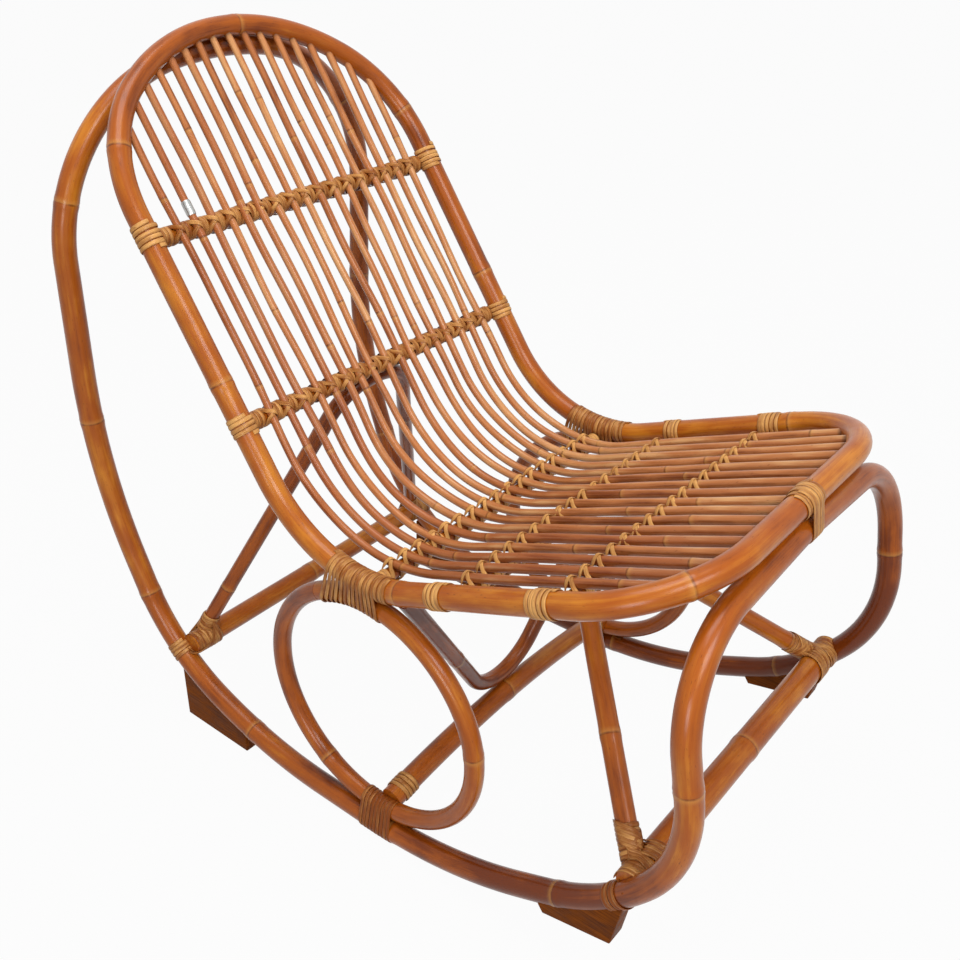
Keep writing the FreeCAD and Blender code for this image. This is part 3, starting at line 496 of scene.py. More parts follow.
# A knuckle's pale scar reaches this far past it. Its dark ring is full to the core and fades to the edge
SCAR_REACH = 9.0
RING_CORE = 0.4
RING_EDGE = 2.2


def varnished_rattan(name, dark, middle, light, streak, coat):
    """Rattan with its bark on, bent, stained and brushed with gloss varnish. The eye sees long honey
    and russet streaks, dark pores, a tone that changes at each knuckle, and a soft wet shine.
    Fibres and pores are finer in life and are drawn as coarse as they need to show."""
    material, tree = new_material(name)
    blush = attribute(tree, "blush")
    knuckle = attribute(tree, "knuckle")
    noise = patterns(tree, attribute(tree, "grain", "Vector"), {
        "streak": (5.0, 140.0, 3.0),
        "blotch": (22.0, 70.0, 3.0),
        "fibre": (0.8, 45.0, 2.0),
        "pore": (1.3, 6.0, 1.0),
        "scuff": (9.0, 16.0, 4.0),
    })
    depth = summed(tree, -0.26 - streak / 2, (
        (noise["streak"], streak), (noise["blotch"], 1.2), (noise["fibre"], 0.3),
        (attribute(tree, "tone"), 0.26)))
    low = mixed(tree, colour(dark), colour(middle), ranged(tree, depth, 0.0, 0.5))
    body = mixed(tree, low, colour(light), ranged(tree, depth, 0.45, 1.0))
    body = mixed(tree, body, colour("#8A3A16"), ranged(tree, blush, 0.2, 1.0, 0.0, 0.45))
    body = mixed(tree, body, colour("#A08A6A"), ranged(tree, blush, -0.35, -1.0, 0.0, 0.6))
    body = mixed(tree, body, colour("#4A1E0A"), ranged(tree, noise["pore"], 0.66, 0.8, 0.0, 0.5))
    beyond = ranged(tree, knuckle, 0.0, SCAR_REACH * MM, 0.4, 0.0)
    scar = reckoned(tree, "MULTIPLY", beyond, reckoned(tree, "GREATER_THAN", knuckle, 0.0))
    body = mixed(tree, body, colour("#D2994F"), scar)
    near = reckoned(tree, "ABSOLUTE", knuckle)
    line = ranged(tree, near, RING_CORE * MM, RING_EDGE * MM, 1.0, 0.0)
    broken = ranged(tree, noise["scuff"], 0.3, 0.65, 0.1, 0.7)
    body = mixed(tree, body, colour("#5A240B"), reckoned(tree, "MULTIPLY", line, broken))
    # Painted shade: near-black laid over a slat's ends, for the shadow in the hole where it enters the hoop
    body = mixed(tree, body, colour("#2E1206"), attribute(tree, "hole_shade"))
    coated(tree, {
        "Base Color": body, "Roughness": ranged(tree, noise["scuff"], 0.3, 0.75, 0.3, 0.48),
        "Specular IOR Level": 0.05, "Coat Weight": coat, "Coat Roughness": 0.25, "Coat IOR": 1.4,
        "Normal": roughened(tree, noise["fibre"], 0.03, 0.3)})
    return material


def split_cane(name):
    """Cane: the glossy peel of rattan, split into flat strips. The eye sees pale straw, fine lines
    along each strip, darker edges where varnish pools, and a satin shine."""
    material, tree = new_material(name)
    noise = patterns(tree, attribute(tree, "grain", "Vector"), {
        "line": (0.9, 60.0, 2.0),
        "stain": (7.0, 22.0, 3.0),
        "fleck": (1.4, 5.0, 1.0),
    })
    tone = attribute(tree, "tone")
    depth = summed(tree, -0.42, ((noise["line"], 0.75), (noise["stain"], 1.1), (tone, 0.28)))
    body = mixed(tree, colour("#844212"), colour("#DCA460"), ranged(tree, depth, 0.05, 0.95))
    body = mixed(tree, body, colour("#6B3714"), ranged(tree, noise["fleck"], 0.66, 0.8, 0.0, 0.5))
    across = add(tree, "ShaderNodeSeparateXYZ", {0: attribute(tree, "side", "Vector")}).outputs[1]
    width = CANE_WIDTH * MM
    edge = ranged(tree, reckoned(tree, "ABSOLUTE", across), 0.36 * width, 0.5 * width, 0.0, 0.7)
    body = mixed(tree, body, colour("#7A431A"), edge)
    coated(tree, {
        "Base Color": body, "Roughness": ranged(tree, noise["stain"], 0.3, 0.7, 0.35, 0.55),
        "Specular IOR Level": 0.1, "Coat Weight": 0.15, "Coat Roughness": 0.18,
        "Normal": roughened(tree, noise["line"], 0.25, 0.3)})
    return material


def stained_wood(name):
    """Sawn hardwood, stained dark and thinly varnished. The eye sees straight grain and worn edges."""
    material, tree = new_material(name)
    place = add(tree, "ShaderNodeTexCoord").outputs["Object"]
    turned = add(tree, "ShaderNodeMapping", {"Vector": place, "Rotation": (math.radians(90.0), 0.0, 0.0)})
    noise = patterns(tree, turned.outputs[0], {
        "grain": (1.6, 60.0, 3.0), "stain": (18.0, 40.0, 3.0), "pore": (0.7, 9.0, 1.0)})
    depth = summed(tree, -0.5, ((noise["grain"], 1.1), (noise["stain"], 0.9)))
    body = mixed(tree, colour("#401A04"), colour("#8E4A12"), ranged(tree, depth, 0.05, 0.95))
    body = mixed(tree, body, colour("#2A1207"), ranged(tree, noise["pore"], 0.62, 0.78, 0.0, 0.6))
    coated(tree, {
        "Base Color": body, "Roughness": ranged(tree, noise["stain"], 0.3, 0.7, 0.45, 0.65),
        "Specular IOR Level": 0.05, "Normal": roughened(tree, noise["grain"], 0.3, 0.4)})
    return material


def tin_plate(name):
    """Thin rolled steel, tinned. The eye sees a grey sheen, fine rolling lines and dull spots."""
    material, tree = new_material(name)
    place = add(tree, "ShaderNodeTexCoord").outputs["Object"]
    noise = patterns(tree, place, {"roll": (0.5, 12.0, 2.0), "dull": (4.0, 4.0, 3.0)})
    body = mixed(tree, colour("#969896"), colour("#CCCECC"), noise["dull"])
    coated(tree, {
        "Base Color": body, "Metallic": 1.0,
        "Roughness": ranged(tree, noise["roll"], 0.3, 0.7, 0.25, 0.45)})
    return material


def varnished_nail(name):
    """Iron nails, driven flush and varnished over with the poles. The eye sees a dull brown spot."""
    material, tree = new_material(name)
    place = add(tree, "ShaderNodeTexCoord").outputs["Object"]
    noise = patterns(tree, place, {"rust": (1.5, 1.5, 3.0)})
    body = mixed(tree, colour("#6E3410"), colour("#8E4A1A"), noise["rust"])
    coated(tree, {
        "Base Color": body, "Roughness": ranged(tree, noise["rust"], 0.3, 0.7, 0.4, 0.6),
        "Specular IOR Level": 0.1})
    return material


POLE_FINISH = varnished_rattan("varnished rattan pole", "#6E2E06", "#A45210", "#C87B23", 0.6, 0.7)
SLAT_FINISH = varnished_rattan("varnished rattan slat", "#7E4018", "#B87240", "#D6A06A", 1.3, 0.7)
CANE_FINISH = split_cane("split cane")
WOOD_FINISH = stained_wood("stained hardwood")
TIN_FINISH = tin_plate("tinned steel")
NAIL_FINISH = varnished_nail("varnished nail")
POLE_TREE = pole_tree()
STRIP_TREE = strip_tree()


# Poles and slats

# A pole swells at a knuckle, as a share of its thickness, with a narrow crease in the middle of the swelling
POLE_SWELL = 0.06
SLAT_SWELL = 0.07
SWELL_REACH = 7.0
CREASE_REACH = 1.6
KNUCKLE_PITCH = 290.0
POLE_SIDES = 28
SLAT_SIDES = 14


def scattered(length, draw):
    """Knuckle places along a pole, about evenly spread and clear of its end."""
    clear = 20.0
    places = []
    place = KNUCKLE_PITCH * draw.uniform(0.3, 0.8)
    while place < length - clear:
        places.append(place)
        place += KNUCKLE_PITCH * draw.uniform(0.8, 1.2)
    return places


def pole_run(axis, diameters, knuckles, seed, swell, stain, blush=0.0):
    """The line of a pole: thickness, knuckles, the tone of each length between them and the stain on it,
    which on some poles also holds painted shade.
    """
    draw = random.Random(seed)
    lengths = axis.lengths
    places = np.array(sorted(knuckles))
    offsets = lengths[:, None] - places[None, :]
    nearest = offsets[np.arange(len(lengths)), np.abs(offsets).argmin(axis=1)]
    tones = np.array([draw.uniform(-0.5, 0.5) for _ in range(len(places) + 1)])
    tone = tones[np.searchsorted(places, lengths)] + np.interp(lengths, *zip(*stain))
    marks, sizes = zip(*diameters)
    swollen = np.exp(-(nearest / SWELL_REACH) ** 2)
    creased = np.exp(-(nearest / CREASE_REACH) ** 2)
    thickness = np.interp(lengths / axis.length, marks, sizes) / 2
    thickness = thickness * (1 + swell * swollen - 0.5 * swell * creased)
    return {
        "place": axis.points,
        "thickness": thickness * MM,
        "along": lengths * MM,
        "knuckle": nearest * MM,
        "tone": tone,
        "blush": np.full(len(lengths), blush),
        "hole_shade": np.zeros(len(lengths)),
    }


def pole(node, axis, diameters, seed, knuckles=None, stain=((0.0, 0.0),)):
    """A varnished pole in place of a node of the frame. One diameter stands for an even pole."""
    if knuckles is None:
        knuckles = scattered(axis.length, random.Random(seed))
    if isinstance(diameters, float):
        diameters = ((0.0, diameters), (1.0, diameters))
    run = pole_run(axis, diameters, knuckles, seed, POLE_SWELL, stain)
    piece = swept(node + "_rattan", POLE_TREE, [run], {"Sides": POLE_SIDES, "Finish": POLE_FINISH})
    dress(piece, "rattan_pole", node)


# Slats are thicker towards the front. Share of the length from the arch, and diameter
SLAT_TAPER = ((0.0, 10.0), (0.5, 10.6), (1.0, 12.8))


def slats():
    """Slats, each of its own tone, with painted shade where it goes into the hoop."""
    fade, darkest = 4.0, 0.75
    for index in range(SLATS):
        node = "slat_%02d" % (index + 1)
        axis = slat_axis(index)
        draw = random.Random(700 + index)
        knuckles = scattered(axis.length, draw)
        size = 1.0 if index == SLEEVED else draw.uniform(0.95, 1.05)
        diameters = [(share, size * diameter) for share, diameter in SLAT_TAPER]
        stain = ((0.0, draw.uniform(-0.5, 0.6)),)
        blush = draw.uniform(-1.0, 1.0)
        run = pole_run(axis, diameters, knuckles, 900 + index, SLAT_SWELL, stain, blush)
        # Painted shade: the last few millimetres at each end darken towards the hoop, for the shadow in its
        # hole
        from_end = np.minimum(axis.lengths - ARCH_POLE / 2, axis.length - SEAT_POLE / 2 - axis.lengths)
        run["hole_shade"] = np.clip(1.0 - from_end / fade, 0.0, 1.0) * darkest
        piece = swept(node + "_rattan", POLE_TREE, [run], {"Sides": SLAT_SIDES, "Finish": SLAT_FINISH})
        dress(piece, "rattan_slat", node)


FRONT_FOOT = np.array((-236.4, -416.0, 184.0))
FRONT_APEX = np.array((0.0, -153.5, 427.0))
REAR_FOOT = np.array((-235.5, 350.0, 142.0))
REAR_APEX = np.array((-56.0, 190.0, 527.5))
UNDER_TOP = np.array((-238.0, -79.0, 396.0))
UNDER_FOOT = np.array((0.0, -32.5, 40.8))
MIDDLE_END = np.array((-252.0, -52.0, 59.0))
MIDDLE_RISE = 21.0

# Knuckles, in millimetres along each hoop from the middle of its front rail
SEAT_KNUCKLES = (222.0, 600.0, 978.0, 1287.0, 1590.0, 1887.0, 2157.0, 2470.0, 2790.0)
ROCKER_KNUCKLES = (372.0, 696.0, 980.0, 1263.0, 1536.0, 1818.0, 2133.0, 2420.0, 2720.0, 3030.0, 3330.0,
                   3640.0, 3950.0, 4250.0, 4555.0)

# Stain along each hoop: length and tone, below 0 for dark and above 0 for light
SEAT_STAIN = ((0.0, 0.3), (900.0, 0.4), (1250.0, 0.1), (1400.0, -0.5), (1750.0, -0.6), (2000.0, 0.0),
              (2500.0, 0.5))
# Rocker hoop: from 3500 to 4600, the far rocker, toe and leg, the darkening is painted shade for the seat's
# shadow; the rest is stain
ROCKER_STAIN_AND_SHADE = ((0.0, 0.0), (300.0, 0.1), (480.0, 0.0), (620.0, -1.7), (800.0, -1.9), (950.0, -0.5),
                (1300.0, 0.2), (1700.0, 0.5), (2200.0, 0.2), (2460.0, -0.4), (3500.0, -0.6),
                (3700.0, -1.2), (4300.0, -1.6), (4600.0, -1.3), (4900.0, 0.0))

# Thickness along each hoop: share of its length, and diameter
SEAT_TAPER = ((0.0, SEAT_POLE), (0.36, SEAT_POLE), (0.5, ARCH_POLE), (0.64, SEAT_POLE), (1.0, SEAT_POLE))
ROCKER_TAPER = ((0.0, ROCKER_POLE), (0.28, ROCKER_POLE), (0.38, PROP_LOWER_POLE), (0.5, PROP_POLE),
                (0.62, PROP_LOWER_POLE), (0.72, ROCKER_POLE), (1.0, ROCKER_POLE))
RING_STAIN = ((300.0, 0.0), (560.0, -0.6))
# Painted shade: the under-seat brace is darkened all along, most at its near top end, for the shadow under
# the seat
UNDER_BRACE_SHADE = ((0.0, -2.4), (420.0, -0.6))


def middle_stretcher_axis():
    """The middle stretcher bows up between the ring feet."""
    share = np.linspace(-1.0, 1.0, 81)
    bow = np.column_stack((share * -MIDDLE_END[0], 0 * share, MIDDLE_RISE * (1 - share ** 2)))
    return Axis(MIDDLE_END * (0.0, 1.0, 1.0) + bow)


def poles():
    """The hoops, rings, rails, stretchers and braces."""
    pole("seat_hoop", SEAT_AXIS, SEAT_TAPER, 11, SEAT_KNUCKLES, SEAT_STAIN)
    pole("rocker_hoop", ROCKER_AXIS, ROCKER_TAPER, 12, ROCKER_KNUCKLES, ROCKER_STAIN_AND_SHADE)
    for side, sign in (("right", -1), ("left", 1)):
        pole("ring_" + side, ring_axis(sign), RING_POLE, 20 + sign, (330.0, 712.0), RING_STAIN)
    rail_half, rear_bar_half, stretcher_half = 247.0, 239.0, 264.0
    for seed, (node, half, bulk) in enumerate((
            ("upper_back_rail", rail_half, RAIL_BULK),
            ("lower_back_rail", rail_half, RAIL_BULK),
            ("rear_seat_bar", rear_bar_half, 0.0),
            ("middle_seat_bar", rail_half, 0.0),
            ("front_seat_bar", rail_half, 0.0))):
        pole(node, cross_axis(node, half), RAIL_POLE + 2 * bulk, 30 + seed)
    for node, diameter, seed, knuckle, tone in (
            ("rear_stretcher", REAR_STRETCHER_POLE, 40, 243.0, 0.4),
            ("front_stretcher", FRONT_STRETCHER_POLE, 41, 271.0, 0.5)):
        pole(node, cross_axis(node, stretcher_half), diameter, seed, (knuckle,), ((0.0, tone),))
    pole("middle_stretcher", middle_stretcher_axis(), MIDDLE_STRETCHER_POLE, 43, (252.0,), ((0.0, 0.3),))
    front = bent_axis((FRONT_FOOT, FRONT_APEX, mirrored(FRONT_FOOT)), 34.0)
    pole("front_brace", front, FRONT_BRACE_POLE, 44)
    rear = bent_axis((REAR_FOOT, REAR_APEX, mirrored(REAR_APEX), mirrored(REAR_FOOT)), 75.0)
    pole("rear_brace", rear, REAR_BRACE_POLE, 45, (84.0, 380.0, 690.0), ((0.0, -0.7),))
    under = bent_axis((UNDER_TOP, UNDER_FOOT, mirrored(UNDER_TOP)), 82.5)
    pole("under_seat_brace", under, UNDER_BRACE_POLE, 46, stain=UNDER_BRACE_SHADE)


# Bound cane

def belt(first_radius, second_radius, distance, places):
    """Points and outward ways on a belt round two poles, at shares of its length from the far side of
    the first pole."""
    angles = np.linspace(0.0, 2 * math.pi, 361)
    ways = np.column_stack((np.sin(angles), -np.cos(angles)))
    on_first = first_radius >= ways[:, 1] * distance + second_radius
    points = np.where(on_first[:, None], first_radius * ways, second_radius * ways + (0.0, distance))
    lengths = travelled(points)
    asked = np.mod(places, 1.0) * lengths[-1]
    return between(asked, lengths, points), between(asked, lengths, ways)


def wound(frame_at, turns, seed, per_turn=44):
    """A strip wound round one or two poles. frame_at gives the poles' places at a number of turns."""
    draw = random.Random(seed)
    lumps = [draw.uniform(0.0, 0.35) for _ in range(turns + 2)]
    drift = [draw.uniform(-0.12, 0.12) for _ in range(turns + 2)]
    points = []
    outward = []
    for step in range(turns * per_turn + 1):
        turn = step / per_turn
        drifted = turn + np.interp(turn, range(turns + 2), drift)
        point, toward, side, first_radius, second_radius, distance = frame_at(drifted)
        reach = CANE_THICK / 2 + np.interp(turn, range(turns + 2), lumps)
        (a, b), (out_a, out_b) = belt(
            first_radius + reach, second_radius + reach if distance else 0.0, distance, turn)
        points.append(point + side * a + toward * b)
        outward.append(side * out_a + toward * out_b)
    return np.array(points), np.array(outward)


def strip_run(points, outward, seed, painted_light_and_shade=0.0):
    """The line of a strip, its rounded face square to its way of travel, and its tone, with painted light
    and shade added to it.
    """
    draw = random.Random(seed)
    ways = unit_rows(np.gradient(points, axis=0))
    square = unit_rows(outward - ways * np.sum(outward * ways, axis=1)[:, None])
    lengths = travelled(points)
    patch = 60.0
    marks = np.arange(0.0, lengths[-1] + 2 * patch, patch)
    # Painted light and shade: a node's cane is paler where it is lit and darker where it lies in shade
    tone = painted_light_and_shade + np.interp(lengths, marks, [draw.uniform(-0.6, 0.6) for _ in marks])
    start = draw.uniform(0.0, 3.0)
    return {
        "place": points,
        "outward": square,
        "thickness": np.ones(len(points)),
        "along": lengths * MM + start,
        "tone": tone,
    }


def cane_piece(node, runs, sides=12):
    """Strips of cane along their lines, in place of a node of the frame."""
    piece = swept(node + "_strips", STRIP_TREE, runs, {
        "Width": CANE_WIDTH * MM, "Thickness": CANE_THICK * MM, "Sides": sides, "Finish": CANE_FINISH})
    dress(piece, "cane", node)


def binding(node, strips, seed, painted_light_and_shade=0.0):
    """A node of bound cane: each strip on the right side of the chair, and its mirror image."""
    runs = []
    for number, (points, outward) in enumerate(strips):
        runs.append(strip_run(points, outward, seed + number, painted_light_and_shade))
        runs.append(strip_run(mirrored(points), mirrored(outward), seed + 50 + number, painted_light_and_shade))
    cane_piece(node, runs)


def round_pole(axis, radius, first):
    """Frame for turns round one pole that lies in a side plane of the chair."""
    def frame_at(turn):
        point, way = axis.at(first + CANE_PITCH * turn)
        toward = unit(np.cross(way, ACROSS))
        return point, toward, np.cross(toward, way), radius, 0.0, 0.0
    return frame_at


def round_rod(start, way, radius, first, pitch=CANE_PITCH):
    """Frame for turns round a straight pole."""
    way = unit(way)
    toward = unit(np.cross(way, (0.0, 0.0, 1.0)))

    def frame_at(turn):
        return start + way * (first + pitch * turn), toward, np.cross(toward, way), radius, 0.0, 0.0
    return frame_at


def round_ring(axis, radius, first, pitch, belted):
    """Frame for turns round a hoop's pole and the ring beside it, then round the pole alone."""
    angles = np.linspace(0.0, 2 * math.pi, 1441)
    circle = RING_CENTRE + RING_RADIUS * np.column_stack((0 * angles, np.cos(angles), np.sin(angles)))

    def frame_at(turn):
        point, way = axis.at(first + pitch * turn)
        apart = circle - point
        off_plane = np.abs(apart @ way)
        nearest = np.argmin(off_plane * 10.0 + np.linalg.norm(apart, axis=1))
        toward = apart[nearest] - way * (apart[nearest] @ way)
        spoke = unit(circle[nearest] - RING_CENTRE)
        slant = abs(spoke @ unit(toward))
        side = np.cross(unit(toward), way)
        if turn > belted:
            return point, unit(toward), side, radius, 0.0, 0.0
        return point, unit(toward), side, radius, RING_POLE / 2 / slant, np.linalg.norm(toward)
    return frame_at


def sail(first_start, first_end, first_radius, second_start, second_end, second_radius, turns):
    """Frame for turns that fan out over the corner between two poles that meet."""
    lean = unit(np.cross(first_end - first_start, second_end - second_start))

    def frame_at(turn):
        share = turn / turns
        point = first_start + (first_end - first_start) * share
        toward = second_start + (second_end - second_start) * share - point
        side = unit(lean - unit(toward) * (lean @ unit(toward)))
        return point, unit(toward), side, first_radius, second_radius, np.linalg.norm(toward)
    return frame_at


SEAT_R = SEAT_POLE / 2
ROCKER_R = ROCKER_POLE / 2
RIGHT_SEAT = -SEAT_HALF
RIGHT_ROCKER = -ROCKER_HALF


def end_bindings():
    """Turns round the seat hoop where the rails and bars end."""
    for seed, (node, rail, turns) in enumerate((
            ("upper_rail_end_bindings", "upper_back_rail", 5),
            ("lower_rail_end_bindings", "lower_back_rail", 4),
            ("middle_bar_end_bindings", "middle_seat_bar", 4),
            ("front_bar_end_bindings", "front_seat_bar", 5))):
        place = middle_of(rail) + ACROSS * RIGHT_SEAT
        first = SEAT_AXIS.near(place) - turns * CANE_PITCH / 2
        strip = wound(round_pole(SEAT_AXIS, SEAT_R, first), turns, 100 + seed)
        binding(node, [strip], 110 + 5 * seed, 0.6)


def ring_bindings():
    """Long bindings that hold each ring to the bend of the seat and to the rocker."""
    turns, belted, behind, ahead = 16, 13, 55.0, 7.0
    contact = SEAT_AXIS.near((RIGHT_SEAT, RING_CENTRE[1], RING_HIGH[2] + SEAT_R))
    frame_at = round_ring(SEAT_AXIS, SEAT_R, contact + behind, -CANE_PITCH, belted)
    binding("seat_bend_bindings", [wound(frame_at, turns, 150)], 151, -0.5)
    turns = 9
    foot = ROCKER_AXIS.near((RIGHT_ROCKER, RING_CENTRE[1] - ahead, RING_LOW[2] - ROCKER_R))
    frame_at = round_ring(ROCKER_AXIS, ROCKER_R, foot - turns * CANE_PITCH / 2, CANE_PITCH, turns)
    binding("ring_foot_bindings", [wound(frame_at, turns, 160)], 161, -1.6)


def crossing(brace, stretcher, brace_stops, stretcher_stops):
    """A strand laid slantwise over a brace's foot and on round the stretcher. A stop is a length along
    the pole and an angle round it, from the face that looks out of the corner between the two."""
    stations = []
    foot, brace_way, brace_radius = brace
    middle, stretcher_radius = stretcher
    out = unit(np.cross(ACROSS, brace_way))
    for start, way, radius, stops in (
            (foot, brace_way, brace_radius, brace_stops),
            (middle, ACROSS, stretcher_radius, stretcher_stops)):
        beside = np.cross(way, out)
        for length, degrees in stops:
            angle = math.radians(degrees)
            spoke = out * math.cos(angle) + beside * math.sin(angle)
            stations.append((start + way * length + spoke * radius, spoke))
    return smooth(stations)


# Strands over the foot of the front brace, in two sets: how many, where the first starts on the brace and on
# the stretcher, the pitch on the stretcher, and the stops on both, each a length from the start and an angle
FRONT_STRANDS = (
    (5, 43.0, -203.0, 5.4,
     ((6.0, -150.0), (2.0, -90.0), (-5.0, -40.0), (-12.0, 10.0), (-19.0, 55.0)),
     ((-7.0, -60.0), (-4.0, -20.0), (0.0, 25.0), (4.0, 80.0), (6.0, 140.0))),
    (3, 36.0, -240.0, 4.0,
     ((6.0, 150.0), (2.0, 90.0), (-5.0, 40.0), (-12.0, -10.0), (-19.0, -50.0)),
     ((6.0, -60.0), (3.0, -20.0), (0.0, 25.0), (-4.0, 80.0), (-6.0, 140.0))),
)
STRAND_PITCH = 5.2


def shifted(stops, length):
    """Stops moved along their pole."""
    return [(length + offset, degrees) for offset, degrees in stops]


def front_joint(turns):
    """The foot of the front brace: a sock of close turns with slanting strands crossed over it."""
    way = unit(FRONT_APEX - FRONT_FOOT)
    middle = middle_of("front_stretcher")
    end = middle - ACROSS * 265.0
    brace_radius = FRONT_BRACE_POLE / 2
    stretcher_radius = FRONT_STRETCHER_POLE / 2
    strips = [
        wound(round_rod(FRONT_FOOT, way, brace_radius, 1.0, SOCK_PITCH), turns + 4, 190),
        wound(round_rod(end, ACROSS, stretcher_radius, 0.0, SOCK_PITCH), turns + 2, 191),
    ]
    brace = (FRONT_FOOT, way, brace_radius + CANE_THICK * 1.5)
    stretcher = (middle, stretcher_radius + CANE_THICK * 1.5)
    for count, high, place, pitch, brace_stops, stretcher_stops in FRONT_STRANDS:
        for i in range(count):
            on_brace = shifted(brace_stops, high - STRAND_PITCH * i)
            on_stretcher = shifted(stretcher_stops, place - pitch * i)
            strips.append(crossing(brace, stretcher, on_brace, on_stretcher))
    binding("front_brace_foot_bindings", strips, 192, -0.4)


def rear_joint(turns):
    """The foot of the rear brace: close turns on brace and stretcher, and a fan over their corner."""
    way = unit(REAR_APEX - REAR_FOOT)
    middle = middle_of("rear_stretcher")
    brace_radius = REAR_BRACE_POLE / 2
    stretcher_radius = REAR_STRETCHER_POLE / 2
    fan = sail(middle - ACROSS * 257.0, middle - ACROSS * 218.0, stretcher_radius + CANE_THICK,
               REAR_FOOT, REAR_FOOT + way * 22.0, brace_radius + CANE_THICK, turns + 4)
    end = middle - ACROSS * 261.0
    binding("rear_brace_foot_bindings", [
        wound(round_rod(REAR_FOOT, way, brace_radius, 3.0, SOCK_PITCH), turns + 1, 200),
        wound(round_rod(end, ACROSS, stretcher_radius, 0.0, SOCK_PITCH), turns + 4, 201),
        wound(fan, turns + 4, 202),
    ], 203, -0.3)


def joint_bindings():
    """Turns where the stretchers and braces meet the rockers."""
    front = ROCKER_AXIS.near((RIGHT_ROCKER, -418.0, 160.0))
    rear = ROCKER_AXIS.near((-PROP_HALF, 362.0, 120.0))
    turns = 4
    # The last number is painted light and shade on the cane: below 0 darker for shade, above 0 paler for
    # light
    for node, place, seed, painted_light_and_shade in (
            ("front_joint_bindings", front, 170, -1.3),
            ("rear_joint_bindings", rear, 180, 0.2)):
        first = place - turns * CANE_PITCH / 2
        strip = wound(round_pole(ROCKER_AXIS, ROCKER_R, first), turns, seed)
        binding(node, [strip], seed + 1, painted_light_and_shade)
    front_joint(turns)
    rear_joint(turns)
    point, way = middle_stretcher_axis().at(13.0)
    around = round_rod(point, way, MIDDLE_STRETCHER_POLE / 2, 0.0)
    binding("middle_stretcher_bindings", [wound(around, turns, 210)], 211)


def front_centre_binding():
    """Turns round the seat's front rail, and a belt over them that takes in the rocker hoop's rail."""
    seat = BEND + FORWARD * SEAT_DEPTH
    toward = np.array((0.0, FRONT_RAIL_Y, FRONT_RAIL_Z)) - seat
    belt_pitch = 5.2

    def frame_at(start, pitch, radius, belted):
        def at(turn):
            point = seat + ACROSS * (start + pitch * turn)
            way = unit(toward)
            side = np.cross(way, ACROSS)
            if belted:
                return point, way, side, radius, ROCKER_R, np.linalg.norm(toward)
            return point, way, side, radius, 0.0, 0.0
        return at

    strips = [
        wound(frame_at(-22.0, CANE_PITCH, SEAT_R, False), 7, 220),
        wound(frame_at(-12.0, belt_pitch, SEAT_R + CANE_THICK, True), 5, 221),
    ]
    runs = [strip_run(points, outward, 222 + i) for i, (points, outward) in enumerate(strips)]
    cane_piece("front_centre_binding", runs)


# Lashings

def lashing(node, rail, face, wraps, slat, bulk, painted_light_and_shade, seed):
    """One strip that crosses over every slat twice and winds round the rail between them."""
    draw = random.Random(seed)
    over = slat / 2 + CANE_THICK / 2 + 0.2
    side = slat / 2 + 1.7
    arm = RAIL_POLE / 2 + CANE_THICK / 2 + 0.5 + bulk
    along = unit(np.cross(face, ACROSS))
    middle = middle_of(rail) + face * RAIL_DROP
    shown = [math.radians(a) for a in (-90.0, -45.0, 0.0, 45.0, 90.0)]
    under = [math.radians(a) for a in (135.0, 180.0, 225.0)]
    lead_start, lead_pitch, leads = -30.5, 5.6, 4
    wrap_gap, wrap_pitch, shown_run = 3.2, 5.0, 2.6

    # Half of a crossing: shares of the way beside the slat and along it, height, and the way the strip faces
    leg = ((1.0, 1.0, -RAIL_DROP, 0.0, 1.0, 0.0), (1.0, 0.85, 6.5 - RAIL_DROP, 0.5, 0.85, 0.2),
           (0.92, 0.5, 0.0, 0.9, 0.3, 0.3), (0.5, 0.25, 0.82 * over, 0.6, 0.0, 0.8))
    stations = []

    def put(x, u, v, w, out):
        place = middle + ACROSS * (x + u) + along * v + face * w
        stations.append((place, ACROSS * out[0] + along * out[1] + face * out[2]))

    def round_rail(x, start, end, angles, room=0.0):
        for i, angle in enumerate(angles):
            u = start + (end - start) * i / (len(angles) - 1)
            v, w = math.sin(angle), math.cos(angle)
            put(x, u, v * (arm + room), w * (arm + room) - RAIL_DROP, (0.0, v, w))

    def over_slat(x, sense, lift):
        splay = draw.uniform(0.85, 1.15)
        top = (0.0, 0.0, over + lift, 0.0, 0.0, 1.0)
        passed = [(-1, stop) for stop in leg] + [(0, top)] + [(1, stop) for stop in leg[::-1]]
        for half, (u, v, w, out_u, out_v, out_w) in passed:
            reach = arm * (splay if v < 0.9 else 1.0)
            turned = half * sense
            put(x, turned * u * side, half * v * reach, w, (turned * out_u, half * out_v, out_w))

    first = -(SLATS - 1) / 2 * SLAT_PITCH
    for lead in range(leads):
        start = lead_start + lead_pitch * lead
        round_rail(first, start, start + shown_run, shown)
        round_rail(first, start + wrap_gap, start + wrap_pitch, under)
    for index in range(SLATS):
        x = first + index * SLAT_PITCH
        over_slat(x, 1, 0.0)
        round_rail(x, side, side, under, CANE_THICK * 0.5)
        over_slat(x, -1, CANE_THICK)
        count = wraps if index < SLATS - 1 else leads
        round_rail(x, -side, side + 2.0, under, CANE_THICK)
        for wrap in range(count):
            start = side + wrap_gap + wrap_pitch * wrap + draw.uniform(-0.4, 0.4)
            round_rail(x, start, start + shown_run, shown, 0.3)
            round_rail(x, start + wrap_gap, start + 4.6, under)
    points, outward = smooth(stations)
    cane_piece(node, [strip_run(points, outward, seed, painted_light_and_shade)], 10)


